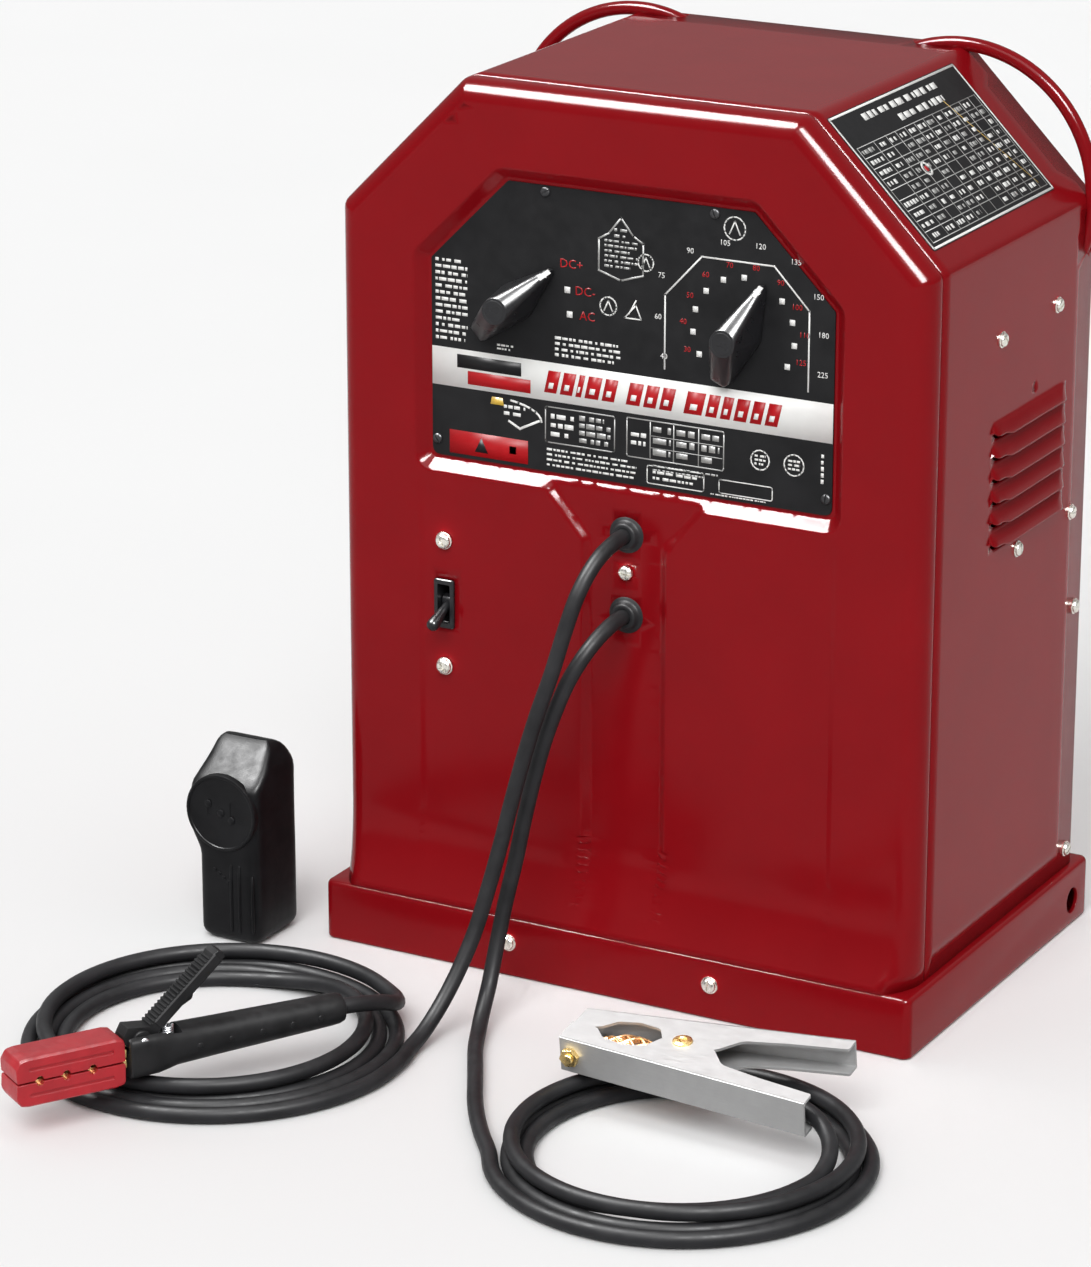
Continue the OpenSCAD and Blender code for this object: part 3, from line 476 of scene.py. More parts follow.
def flat_step(t, r=0.16):
    """Straight slope from 0 to 1 with its two ends rounded."""
    t = max(0.0, min(1.0, t))
    if t > 0.5:
        return 1 - flat_step(1 - t, r)
    return t * t / (2 * r * (1 - r)) if t < r else (t - r / 2) / (1 - r)


def circle(cx, cy, r, n=28):
    return arc(cx, cy, r, 0, 360, n)[:-1]


def about(axis, angle):
    return Matrix.Rotation(math.radians(angle), 4, axis)


def shift(x, y, z):
    return Matrix.Translation((x, y, z))


def cut(target, cutter):
    """Takes a closed shape out of a piece for good."""
    mesh = to_mesh("cutter", cutter.verts, cutter.faces)
    tool = placed("cutter", mesh)
    modifier = target.modifiers.new("cut", "BOOLEAN")
    modifier.operation = "DIFFERENCE"
    modifier.solver = "EXACT"
    modifier.object = tool
    target.modifiers.move(len(target.modifiers) - 1, 0)
    others = [m for m in target.modifiers if m != modifier]
    shown = [m.show_viewport for m in others]
    for m in others:
        m.show_viewport = False
    bpy.context.view_layer.update()
    graph = bpy.context.evaluated_depsgraph_get()
    result = bpy.data.meshes.new_from_object(target.evaluated_get(graph))
    target.modifiers.remove(modifier)
    for m, s in zip(others, shown):
        m.show_viewport = s
    target.data = result
    result.polygons.foreach_set("use_smooth", [True] * len(result.polygons))
    result.set_sharp_from_angle(angle=math.radians(32))
    bpy.data.objects.remove(tool)


# ---------------------------------------------------------------- cables
ELECTRODE_RUN = [
    (0, -128, 317), (0, -135, 317), (0, -147, 315.5), (-1.5, -158, 311.5), (-3.5, -167.5, 304.5),
    (-6, -175, 295), (-9, -180.5, 283), (-14, -185.5, 262), (-20, -190, 237), (-28, -195, 209),
    (-35, -200, 180), (-41, -205, 151), (-46, -211, 122), (-51, -218, 94), (-56, -227, 66), (-61, -240, 42),
    (-65, -256, 23), (-67, -276, 10), (-66, -296, 5.7), (-62, -314, 5.5)]
ELECTRODE_TAIL = [
    (-98, -257, 18), (-91, -273, 24), (-90, -290, 31), (-93, -307, 36), (-98.6, -319.4, 38),
    (-104, -328, 38)]
WORK_RUN = [
    (0, -128, 262), (0, -135, 262), (-0.5, -147, 260.5), (-2.5, -158, 256), (-5.5, -167.5, 249),
    (-10, -174.5, 239), (-15.5, -179, 226), (-22, -182, 208), (-29, -184, 186), (-35, -186.5, 161),
    (-40, -190, 134), (-44, -194.5, 106), (-48, -201, 78), (-50, -209, 51), (-49, -221, 28), (-45, -238, 13),
    (-38, -256, 6.5), (-29, -275, 5.5), (-16, -298, 5.5), (-3, -321, 5.5), (10, -344, 5.5), (24, -366, 5.5),
    (40, -388, 5.5), (56, -408, 5.5)]
WORK_TAIL = [
    (259, -356, 17), (256, -340, 20.5), (248, -325.5, 25), (235.5, -315, 29.8), (220.5, -309.5, 33.4),
    (206, -308.8, 35.4), (194, -310, 36.3), (183, -311, 36.4), (176, -311.5, 36.2)]


def turns(centre, start, end, turns_low, r_start, r_in, r_end, swell, way):
    """Turns of a coil: a flat layer inward, a climb, and a second layer on top of it."""
    total = (end - start) * way
    out = []
    count = round(total / 15)
    for i in range(1, count + 1):
        angle = total * i / count
        n = angle / 360
        theta = math.radians(start + way * angle)
        if n < turns_low:
            s = n / turns_low
            r = r_start + (r_in - r_start) * s + 1.3 * math.sin(math.pi * s) * math.sin(3 * theta + 0.7)
            z = 5.4
        else:
            s = (n - turns_low) / (total / 360 - turns_low)
            climb = smooth_step((n - turns_low) / 0.17)
            z = 5.4 + 10.4 * climb
            out_part = smooth_step((n - turns_low - 0.1) / max(total / 360 - turns_low - 0.1, 0.1))
            r = r_in + (r_end - r_in) * out_part + swell * math.sin(math.pi * s)
        out.append((centre[0] + r * math.cos(theta), centre[1] + r * math.sin(theta), z))
    return out


def curve_through(points, steps=4):
    """Catmull-Rom points, with the ends kept."""
    p = [Vector(q) for q in points]
    p = [2 * p[0] - p[1], *p, 2 * p[-1] - p[-2]]
    out = []
    for i in range(1, len(p) - 2):
        a, b, c, d = p[i - 1:i + 3]
        for k in range(steps):
            t = k / steps
            out.append(0.5 * (2 * b + (c - a) * t + (2 * a - 5 * b + 4 * c - d) * t * t
                              + (3 * b - a - 3 * c + d) * t ** 3))
    out.append(p[-2])
    return out


def cable(name, points):
    curve = bpy.data.curves.new(name, "CURVE")
    curve.dimensions = "3D"
    curve.bevel_depth = CABLE_D / 2 * MM
    curve.bevel_resolution = 5
    curve.use_fill_caps = True
    spline = curve.splines.new("POLY")
    spline.points.add(len(points) - 1)
    for target, p in zip(spline.points, points):
        target.co = (*(Vector(p) * MM), 1)
    spline.use_smooth = True
    curve.materials.append(FINISH["black_rubber"])
    made = placed(name, curve)
    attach(made, HOUSING)
    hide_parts(*[f"{name}_{part}" for part in ("run", "coil", "tail")])
    return made


def add_cables():
    electrode = ELECTRODE_RUN + turns((-187, -338), 10.9, 50.7 - 1440, 2.72, 127.3, 96.2, 121.5, 0, -1) \
        + ELECTRODE_TAIL
    work = WORK_RUN + turns((164, -355), 206.1, 349.9 + 1080, 2.05, 120.3, 97, 96.5, 12, 1) + WORK_TAIL
    lines = curve_through(electrode), curve_through(work)
    return [(cable(name, line), line) for name, line in zip(("electrode_cable", "work_cable"), lines)]


# ---------------------------------------------------------------- sheet metal
def case_points(inset, foot):
    """Right half and left half of the case's outline, in x and z, always with the same count of points."""
    r = max(BEND_R - inset, 2.5)
    w, h = CASE_W / 2 - inset, CASE_H - inset
    c = CHAMFER - inset * (2 - math.sqrt(2))
    t = r * math.tan(math.radians(22.5))
    low = [(w, foot + (h - c - t - foot) * k / 44) for k in range(44)]
    side_bend = arc(w - r, h - c - t, r, 0, 45, 6)
    top_bend = arc(w - c - t, h - r, r, 45, 90, 6)
    a, b = Vector(side_bend[-1]), Vector(top_bend[0])
    slope = [tuple(a.lerp(b, k / 16)) for k in range(1, 16)]
    flat = [((w - c - t) * (1 - k / 15), h) for k in range(1, 15)]
    half = low + side_bend + slope + top_bend + flat
    return half + [(0, h)] + [(-x, z) for x, z in reversed(half)]


def plate_corners(grow=0.0):
    w, c = PLATE_W / 2 + grow, PLATE_CUT + grow * (2 - math.sqrt(2))
    return [(w, PLATE_Z - grow), (w, PLATE_TOP + grow - c), (w - c, PLATE_TOP + grow),
            (c - w, PLATE_TOP + grow), (-w, PLATE_TOP + grow - c), (-w, PLATE_Z - grow)]


def channel_corners():
    right = [(52, PLATE_Z + 12), (52, PLATE_Z - 7), (25, PLATE_Z - 38), (25, 60)]
    return right + [(-x, z) for x, z in reversed(right)]


def flare(z):
    radius = (FLARE_H ** 2 + FLARE_OUT ** 2) / (2 * FLARE_OUT)
    drop = max(0.0, BASE_H + FLARE_H - z)
    return radius - math.sqrt(max(radius ** 2 - drop ** 2, 0))


def add_front_panel():
    plate = rounded(plate_corners(0.5), 5, 4)
    channel = rounded(channel_corners(), [0, 6, 10, 3, 3, 10, 6, 0], 4)

    def pressed(x, z):
        a = flat_step((inside_distance(plate, x, z) + 9) / 9)
        b = 0.62 * flat_step((inside_distance(channel, x, z) + 7) / 7, 0.25) * smooth_step((z - 48) / 60)
        step = 0.9 * smooth_step((154 - abs(x)) / 5) * smooth_step((PLATE_Z - 12 - z) / 14) \
            * smooth_step((z - 46) / 40)
        return RECESS * max(a, b) + step * (1 - max(a, b))

    boundary = case_points(RIM_R, BASE_H)
    bottom = [(x, BASE_H) for x in [boundary[-1][0] + (boundary[0][0] - boundary[-1][0]) * k / 60
                                     for k in range(1, 60)]]
    outline = boundary + bottom
    holes = [circle(0, TOP_HOLE_Z, 10), circle(0, LOW_HOLE_Z, 10), circle(0, BOLT_Z, 2.6, 12),
             rounded([(SWITCH_X + x, SWITCH_Z + z) for x, z in corners(-5, -14, 5, 14)], 1.2, 3)]
    dense = offset_points(plate, [-9.6, -8.9, -8.3, -7.6, -6.4, -4.5, -2.6, -1.4, -0.7, -0.1, 0.8], 5)
    dense += [p for p in offset_points(channel, [-7.4, -6.6, -5.6, -4.6, -3.5, -2.4, -1.4, -0.4, 0.8], 5)
              if p[1] < PLATE_Z - 9 and p[1] > BASE_H + 3]
    dense += [(s * x, z) for s in (-1, 1) for x in (147.8, 149.4, 150.8, 152.2, 153.4, 154.6)
              for z in range(48, 340, 6)]
    for row in range(1, 16):
        dense += [(x, BASE_H + row * 4) for x in range(-192, 193, 12)]
    dense += [(x, z) for x in range(-192, 193, 12) for z in range(108, 590, 12)]
    dense = [p for p in dense if inside_distance(outline, *p) > 2.5
             and all(inside_distance(h, *p) < -1.2 for h in holes)]
    rows = [[(x, BASE_H + row * 4) for x in range(-192, 193, 12)] for row in range(1, 16)]
    verts, faces = fill(outline, holes, rows, dense)
    shape = Shape().add([(x, FRONT_Y + pressed(x, z) - flare(z), z) for x, z in verts], faces)
    rows = []
    for k in range(0, 10):
        turn = math.radians(10 * k)
        inset = RIM_R * (1 - math.sin(turn))
        depth = FRONT_Y + RIM_R * (1 - math.cos(turn))
        rows.append([(x, depth - flare(z) * (1 - k / 9) ** 1.2, z) for x, z in case_points(inset, BASE_H)])
    for inset, y in ((0, -1.3), (0.25, -0.5), (0.8, -0.2), (1.8, -0.2), (1.8, 14)):
        rows.append([(x, SEAM_Y + y, z) for x, z in case_points(inset, BASE_H)])
    shape.loft(rows, closed=False, caps=False)
    shape.make("front_panel_skin", "red_enamel", stands_for=["front_panel"], sharp=50, thick=1.0)


def unrolled():
    """Points of the case's outline with their length along it."""
    line = case_points(0, BASE_H)
    lengths = [0.0]
    for a, b in zip(line, line[1:]):
        lengths.append(lengths[-1] + math.dist(a, b))
    return line, lengths


def add_wrapper():
    line, lengths = unrolled()
    total = lengths[-1]
    side_end = CASE_H - CHAMFER - BASE_H

    def on_case(u):
        for i in range(len(lengths) - 1):
            if u <= lengths[i + 1] or i == len(lengths) - 2:
                a, b = Vector(line[i]), Vector(line[i + 1])
                t = (u - lengths[i]) / (lengths[i + 1] - lengths[i])
                along = (b - a).normalized()
                return a.lerp(b, t), Vector((along.y, -along.x))

    louvers = [(392 - 15 * i - 6 - BASE_H) for i in range(6)]

    def curl(y):
        """Rise of a louver's cut at its front end."""
        return 5.5 * (1 - math.sqrt(1 - min(1, (-17 - y) / 11.5) ** 2)) if y < -17 else 0.0

    def swell(y):
        """Share of the widest gape of a louver's front end."""
        return math.sin(math.pi * min(1, max(0, (y + 28.5) / 22))) ** 0.8 if y < -6.5 else 0.0

    def hood(u, y):
        """How far a louver stands out, u measured up from the foot of either side."""
        best = 0.0
        for low in louvers:
            foot = low + curl(y)
            if foot + 0.2 <= u <= low + 12.5 and -28.5 < y < 88.5:
                up = 1 - (u - foot) / (low + 12 - foot)
                ends = min((y + 29) / 7, (88.4 - y) / 12)
                if up > 0:
                    rounding = math.sqrt(max(0, 1 - (1 - min(1, ends)) ** 2))
                    best = max(best, 4.9 * min(1, up) ** 0.75 * rounding)
        return best

    middle, rear_end = list(range(-4, 77, 8)), [78, 80.5, 83, 85, 86.6]
    holes, dense, hood_rows = [], [], []
    for mirrored in (False, True):
        flip = (lambda u: total - u) if mirrored else (lambda u: u)
        for low in louvers:
            front = [-27.6, -26.6, -25, -23, -21, -18.5, -16, -12, -8]
            along = front + middle + rear_end
            upper = [(low + curl(y) + 0.3 + 2.4 * swell(y), y) for y in along]
            lower = [(low + curl(y) - 0.3, y) for y in reversed(along)]
            holes.append([(flip(u), y) for u, y in [(low + 5.6, -28.4)] + upper + [(low, 88)] + lower])
            for t in (0.12, 0.3, 0.5, 0.7, 0.88, 1.0):
                row = [-29.2, -28.8, -28, -27, -25.4, -23.5, -21, -18.5, -16, -12] + middle + rear_end \
                    + [87.6, 88.4]
                hood_rows.append([(flip(low + curl(y) + (12 - curl(y)) * t + 2.4 * (1 - t) * swell(y)), y)
                                  for y in row])
        if not mirrored:
            u = CASE_H - 201 - BASE_H
            holes.append(rounded(corners(u - 3, 37.2, u + 3, 39.2), 0.9, 3))
            dense += [(u + x, 38.2 + y) for r in (6, 10) for x, y, _ in ring(r, 0, 16)
                      if u + x > louvers[0] + 16]
        for u0, u1 in ((side_end - 36, side_end - 8), (side_end + 130 + 8, side_end + 130 + 36)):
            slot = rounded(corners(u0, 113.6, u1, 125.9), 6, 4)
            holes.append([(flip(u), y) for u, y in slot])
    bends = [[(u, y) for y in range(SEAM_Y, REAR_Y + 1, 12)] for u in
             [lengths[i] for i in range(len(line)) if 43 <= i <= 51 or 64 <= i <= 73]]
    bends += [[(total - u, y) for u, y in b] for b in bends]
    outline = spread(corners(0, SEAM_Y + 0.3, total, REAR_Y), 8)
    lines = [[(u, SEAM_Y + 0.3)] + [(v, y) for v, y in b if SEAM_Y + 4 < y < REAR_Y - 4] + [(u, REAR_Y)]
             for b in bends for u in [b[0][0]]]
    points = dense + [(u, y) for u in range(20, int(total) - 15, 24) for y in range(-100, 120, 20)
                      if not (-40 < y < 100 and louvers[-1] - 8 < min(u, total - u) < louvers[0] + 16)]
    points = [p for p in points if all(inside_distance(h, *p) < -0.2 for h in holes)]
    clear = []
    for piece_line in lines:
        clear.append([p for p in piece_line if all(inside_distance(h, *p) < -1.5 for h in holes)])
    cut_lines = [c for c in clear if len(c) == len(lines[clear.index(c)])]
    extra = [p for c in clear if c not in cut_lines for p in c]
    for y0, y1, low, high in ((-31, 91, louvers[-1] - 3, louvers[0] + 13.5),
                              (-33, 93, louvers[-1] - 5, louvers[0] + 15)):
        around = spread(corners(low, y0, high, y1), 9)
        around.append(around[0])
        hood_rows += [around, [(total - u, y) for u, y in around]]
    verts, faces = fill(outline, holes, cut_lines + hood_rows, points + extra)
    out = []
    for u, y in verts:
        p, normal = on_case(min(max(u, 0), total))
        p = p + normal * hood(u if u < total / 2 else total - u, y)
        out.append((p.x, y, p.y))
    shape = Shape().add(out, faces)
    shape.make("case_wrapper", "red_enamel", stands_for=["wrapper"], sharp=46, thick=1.3)


def rectangle_row(inset, z, radius):
    w, d = BASE_W / 2 - inset, BASE_D / 2 - inset
    r = max(radius - inset, 0.6)
    out = []
    for cx, cy, start in ((w - r, d - r, 0), (r - w, d - r, 90), (r - w, r - d, 180), (w - r, r - d, 270)):
        out += [(x, y, z) for x, y in arc(cx, cy, r, start, start + 90, 6)]
    return out


def add_base_pan():
    rows = [rectangle_row(i, z, 6) for i, z in
            ((12, 0), (2.2, 0), (1.0, 0.4), (0.3, 1.2), (0, 2.4), (0, 38), (0.25, 39.6), (0.9, 40.9),
             (1.9, 41.7), (3.2, 42), (20, 42), (20, 39.6), (2.6, 39.6), (2.6, 3), (12, 3))]
    made = Shape().loft(rows).make("base_pan_skin", "red_enamel", stands_for=["base_pan"], sharp=50)
    bore = Shape().lathe([(0, -240), (9, -240), (9, 240), (0, 240)], shift(0, 120, 18) @ about("Y", 90), 32)
    cut(made, bore)
    bevelled(made, 0.5, 60)


def add_handles():
    for name, side in (("handle_left", -1), ("handle_right", 1)):
        path = []
        for k in range(61):
            turn = math.radians(-27 + 144 * k / 60)
            path.append((side * (121 + 95 * math.cos(turn)), 119.75, 513 + 95 * math.sin(turn)))
        shape = Shape().tube(path, 4.75, 20)
        for turn in (4 - 27, 86 + 27):
            x = side * (121 + 95 * math.cos(math.radians(turn)))
            z = 513 + 95 * math.sin(math.radians(turn))
            shape.lathe([(0, 0), (3.6, 0), (3.6, 6.7), (0, 6.7)], shift(x, 119.75, z) @ about("X", -90), 16)
        shape.make(name + "_rod", "red_enamel", stands_for=[name], sharp=50)


# ---------------------------------------------------------------- print on the plates
class Print:
    """Flat print on a plate; place turns print coordinates into the object's."""

    def __init__(self, place):
        self.place = place
        self.shapes = {}

    def area(self, finish, points, lift=0.1):
        shape = self.shapes.setdefault(finish, Shape())
        base = [self.place(x, y, lift) for x, y in points]
        shape.add(base, [tuple(range(len(base)))])

    def bar(self, finish, x0, y0, x1, y1, lift=0.1):
        self.area(finish, corners(x0, y0, x1, y1), lift)

    def line(self, finish, points, width, closed=False, lift=0.1):
        count = len(points) if closed else len(points) - 1
        for i in range(count):
            a, b = Vector(points[i]), Vector(points[(i + 1) % len(points)])
            along = (b - a).normalized()
            side = Vector((-along.y, along.x)) * width / 2
            a, b = a - along * width / 2, b + along * width / 2
            self.area(finish, [a - side, b - side, b + side, a + side], lift)

    def frame(self, finish, x0, y0, x1, y1, width, radius=1.5):
        self.line(finish, rounded(corners(x0, y0, x1, y1), radius, 3), width, True)

    def script(self, finish, x0, y0, x1, y1, rows, rng, height=0.55):
        """Rows of short strokes in place of fine print."""
        pitch = (y1 - y0) / rows
        for i in range(rows):
            y = y0 + pitch * (i + 0.5)
            x = x0
            end = x1 - rng.random() * 0.25 * (x1 - x0) * (i % 3 == 0)
            while x < end:
                w = min(rng.uniform(0.7, 2.4) * pitch * 0.55, end - x)
                tall = pitch * height * rng.uniform(0.75, 1)
                self.bar(finish, x, y - tall / 2, x + w, y + tall / 2)
                x += w + pitch * rng.choice((0.22, 0.26, 0.6))

    def text(self, finish, body, x, y, size, slant=0.0):
        font = bpy.data.curves.new("digits", "FONT")
        font.body, font.size, font.shear = body, size, slant
        font.align_x, font.align_y = "CENTER", "CENTER"
        font.resolution_u = 2
        holder = placed("digits", font)
        mesh = holder.to_mesh()
        verts = [self.place(x + v.co.x, y + v.co.y, 0.1) for v in mesh.vertices]
        faces = [tuple(p.vertices) for p in mesh.polygons]
        holder.to_mesh_clear()
        bpy.data.objects.remove(holder)
        self.shapes.setdefault(finish, Shape()).add(verts, faces)

    def make(self, name):
        for finish, shape in self.shapes.items():
            thickened(shape.make(f"{name}_{finish}", finish, slot="black_plate", sharp=30), 0.08)


def add_nameplate():
    outline = rounded(plate_corners(-1), [6, 3, 3, 3, 3, 6], 5)
    front = PLATE_Y - PLATE_T
    holes = [circle(s * DIAL_X, DIAL_Z, 6.2, 24) for s in (-1, 1)]
    verts, faces = fill(outline, holes)
    shape = Shape().add([(x, front, z) for x, z in verts], faces)
    shape.make("nameplate_sheet", "black_plate", stands_for=["nameplate"], bevel=0.25, thick=PLATE_T - 0.1)
    rng = random.Random(7)
    p = Print(lambda x, z, lift: (x, front - lift, z))
    w = PLATE_W / 2 - 1.2
    p.bar("white_print", -w, 399, w, 425)
    p.bar("red_print", -119, 402, -72, 411, 0.2)
    p.bar("black_plate", -127, 412.5, -79, 421.5, 0.2)
    x = -62
    for width in (9, 9, 4, 10, 9, 0, 10, 9, 9, 0, 13, 8, 7, 9, 8, 9):
        if width:
            for finish, x0, x1, z0, z1, lean, lift in (
                    ("red_print", x, x + width, 404.5, 419.5, 3.4, 0.2),
                    ("white_print", x + width * 0.34, x + width * 0.72, 407.5, 411.4, 0.9, 0.3)):
                p.area(finish, [(x0, z0), (x1, z0), (x1 + lean, z1), (x0 + lean, z1)], lift)
        x += width + 2.6 if width else 6
    p.line("white_print", [(26, 432), (26, 481), (52, 509), (103, 509), (128, 483), (128, 431)], 1.1)
    outer = ["40", "60", "75", "90", "105", "120", "135", "150", "180", "225"]
    inner = ["30", "40", "50", "60", "70", "80", "90", "100", "110", "125"]
    outer_reach = (61, 61, 66, 62, 58.5, 58.5, 62, 60, 61, 61)
    for i in range(11):
        turn = math.radians(-120 + 24 * i)
        ux, uz = math.sin(turn), math.cos(turn)
        if i != 6:
            x, z = DIAL_X + 36 * ux, DIAL_Z + 36 * uz
            p.bar("white_print", x - 1.9, z - 1.9, x + 1.9, z + 1.9)
        if i < 10:
            turn = math.radians(-112 + 24.6 * i)
            ux, uz = math.sin(turn), math.cos(turn)
            reach = 44 if abs(uz) > 0.75 else 43
            p.text("red_print", inner[i], DIAL_X + reach * ux, DIAL_Z + reach * uz, 5.2)
            reach = outer_reach[i]
            px = min(DIAL_X + reach * ux, 138)
            p.text("white_print", outer[i], max(px, 17), DIAL_Z + reach * uz, 5.2)
    for i, label in enumerate(("DC+", "DC-", "AC")):
        turn = math.radians(48 + 24 * i)
        ux, uz = math.sin(turn), math.cos(turn)
        x, z = -DIAL_X + 39 * ux, DIAL_Z + 39 * uz
        if i:
            p.bar("white_print", x - 2.1, z - 2.1, x + 2.1, z + 2.1)
        p.text("red_print", label, x + (13 if i else 11), z + (0 if i else 3), 8.5)
    p.script("white_print", -143, 429, -119, 486, 13, rng)
    p.script("white_print", -97, 428, -84, 433, 2, rng)
    p.script("white_print", -54, 429, -6, 444, 4, rng)
    badge = [(-22, 491), (-22, 512), (-15, 516), (-6, 527), (3, 516), (10, 512), (10, 491), (-6, 486)]
    p.line("grey_print", badge, 1.2, True)
    p.script("grey_print", -18, 493, 6, 513, 6, rng, 0.5)
    p.script("grey_print", -11, 513, -1, 521, 2, rng, 0.5)
    for cx, cz, r in ((75, 530, 7.5), (12, 500, 5.5), (-15, 468, 6)):
        p.line("white_print", circle(cx, cz, r, 18), 0.9, True)
        low = cz - r * 0.5
        p.line("white_print", [(cx - r * 0.5, low), (cx, cz + r * 0.6), (cx + r * 0.5, low)], 0.9)
    p.line("white_print", [(-3, 462), (9, 462), (5, 471), (-3, 462)], 0.9)
    p.line("white_print", [(0, 465), (5, 474)], 0.9)
    p.bar("red_print", -133, 353.5, -74, 369.5)
    p.area("black_plate", [(-114, 356.5), (-104, 356.5), (-109, 366.5)], 0.2)
    p.script("black_plate", -101, 357, -79, 366, 1, rng, 0.6)
    p.line("white_print", [(-98 + 34 * math.sin(math.radians(a)), 396 - 12 * (1 - math.cos(math.radians(a))))
                           for a in range(20, 100, 10)], 1.4)
    p.line("white_print", [(-88, 381), (-80, 377), (-66, 384)], 1.6)
    p.area("yellow_print", [(-102, 391), (-92, 391), (-93, 396), (-101, 396)])
    p.script("white_print", -92, 384, -76, 393, 2, rng)
    p.frame("grey_print", -61, 371, -10, 395, 0.8)
    p.script("white_print", -57, 374, -40, 392, 3, rng)
    p.script("grey_print", -36, 373, -13, 393, 4, rng, 0.7)
    p.frame("grey_print", -1, 370, 69, 396, 0.8)
    for x in (16, 33, 51):
        p.line("grey_print", [(x, 371), (x, 395)], 0.7)
    for z in (378, 386):
        p.line("grey_print", [(16, z), (68, z)], 0.5)
    p.script("white_print", 2, 377, 13, 388, 2, rng)
    for x in (18, 35, 53):
        p.script("grey_print", x, 371.5, x + 13, 394.5, 3, rng, 0.6)
    p.script("white_print", -60, 354, 6, 368, 4, rng, 0.45)
    p.script("grey_print", 18, 362, 66, 367.5, 2, rng, 0.5)
    p.frame("white_print", 14, 354, 55, 366, 0.7)
    p.script("white_print", 18, 356, 50, 364, 2, rng, 0.5)
    p.frame("white_print", 66, 355, 104, 364, 0.7)
    p.script("white_print", 60, 352.5, 102, 354.5, 1, rng, 0.5)
    for cx, r in ((95, 6.5), (119, 7)):
        p.line("white_print", circle(cx, 381, r, 16), 0.9, True)
        p.script("white_print", cx - r * 0.6, 377, cx + r * 0.6, 385, 3, rng, 0.6)
    p.script("white_print", 138, 371, 140, 392, 5, rng, 0.7)
    p.make("nameplate_print")


def chamfer_place(s, y, lift):
    """Point on the right corner cut: s down the slope, lift off it."""
    c = math.sqrt(0.5)
    x0, z0 = CASE_W / 2 - CHAMFER, CASE_H
    return (x0 + s * c + lift * c, y, z0 - s * c + lift * c)


def add_chamfer_label():
    y0, y1, s0, s1 = -101.5, 87.5, 6.5, 113.5
    shape = Shape()
    outline = rounded(corners(s0, y0, s1, y1), 2, 3)
    shape.loft([[chamfer_place(s, y, lift) for s, y in outline] for lift in (0.05, 0.5)])
    shape.make("corner_label_plate", "black_plate", stands_for=["chamfer_label"], bevel=0.15)
    rng = random.Random(11)
    p = Print(lambda y, t, lift: chamfer_place(s1 - t, y, 0.5 + lift * 0.6))
    h = s1 - s0
    p.frame("white_print", y0 + 1.5, 1.5, y1 - 1.5, h - 1.5, 1.6, 1)
    p.script("white_print", -62, h - 12.5, 62, h - 5.5, 1, rng, 0.75)
    p.script("white_print", -22, h - 22.5, 52, h - 15.5, 1, rng, 0.75)
    top = h - 26
    columns = [y0 + 6, -72, -54, -40, -26, -12, 2, 16, 30, 44, 58, 72, y1 - 5]
    for y in columns:
        p.line("grey_print", [(y, 5), (y, top)], 0.6)
    for i in range(10):
        z = 5 + (top - 5) * i / 9
        p.line("grey_print", [(y0 + 6, z), (y1 - 5, z)], 0.6)
        if i < 9:
            for a, b in zip(columns, columns[1:]):
                if rng.random() < 0.86:
                    wide = rng.uniform(0.45, 0.8) * (b - a)
                    mid = (a + b) / 2
                    p.script("white_print" if rng.random() < 0.7 else "grey_print", mid - wide / 2, z + 2,
                             mid + wide / 2, z + (top - 5) / 9 - 2, 1, rng, 0.8)
    p.line("yellow_print", [(40, h - 18), (74, 9)], 0.5, lift=0.2)
    p.line("white_print", circle(-38, 50, 4.5, 16), 1.6, True, lift=0.25)
    p.area("red_print", circle(-38, 50, 2.2, 12), 0.3)
    p.make("corner_label_print")


# ---------------------------------------------------------------- knobs, switch and fixings
def wrapped(points, heights, angles):
    """Rows around the convex hull of points, one at each height."""
    bm = bmesh.new()
    for p in points:
        bm.verts.new(p)
    bmesh.ops.convex_hull(bm, input=bm.verts)
    tree = BVHTree.FromBMesh(bm)
    bm.free()
    rows = []
    for h in heights:
        row = []
        for a in angles:
            way = Vector((math.cos(a), math.sin(a), 0))
            hit = tree.ray_cast(Vector((0, 0, h)) + way * 80, -way)[0]
            row.append(tuple(hit) if hit else tuple(Vector((0, 0, h)) + way))
        rows.append(row)
    return rows


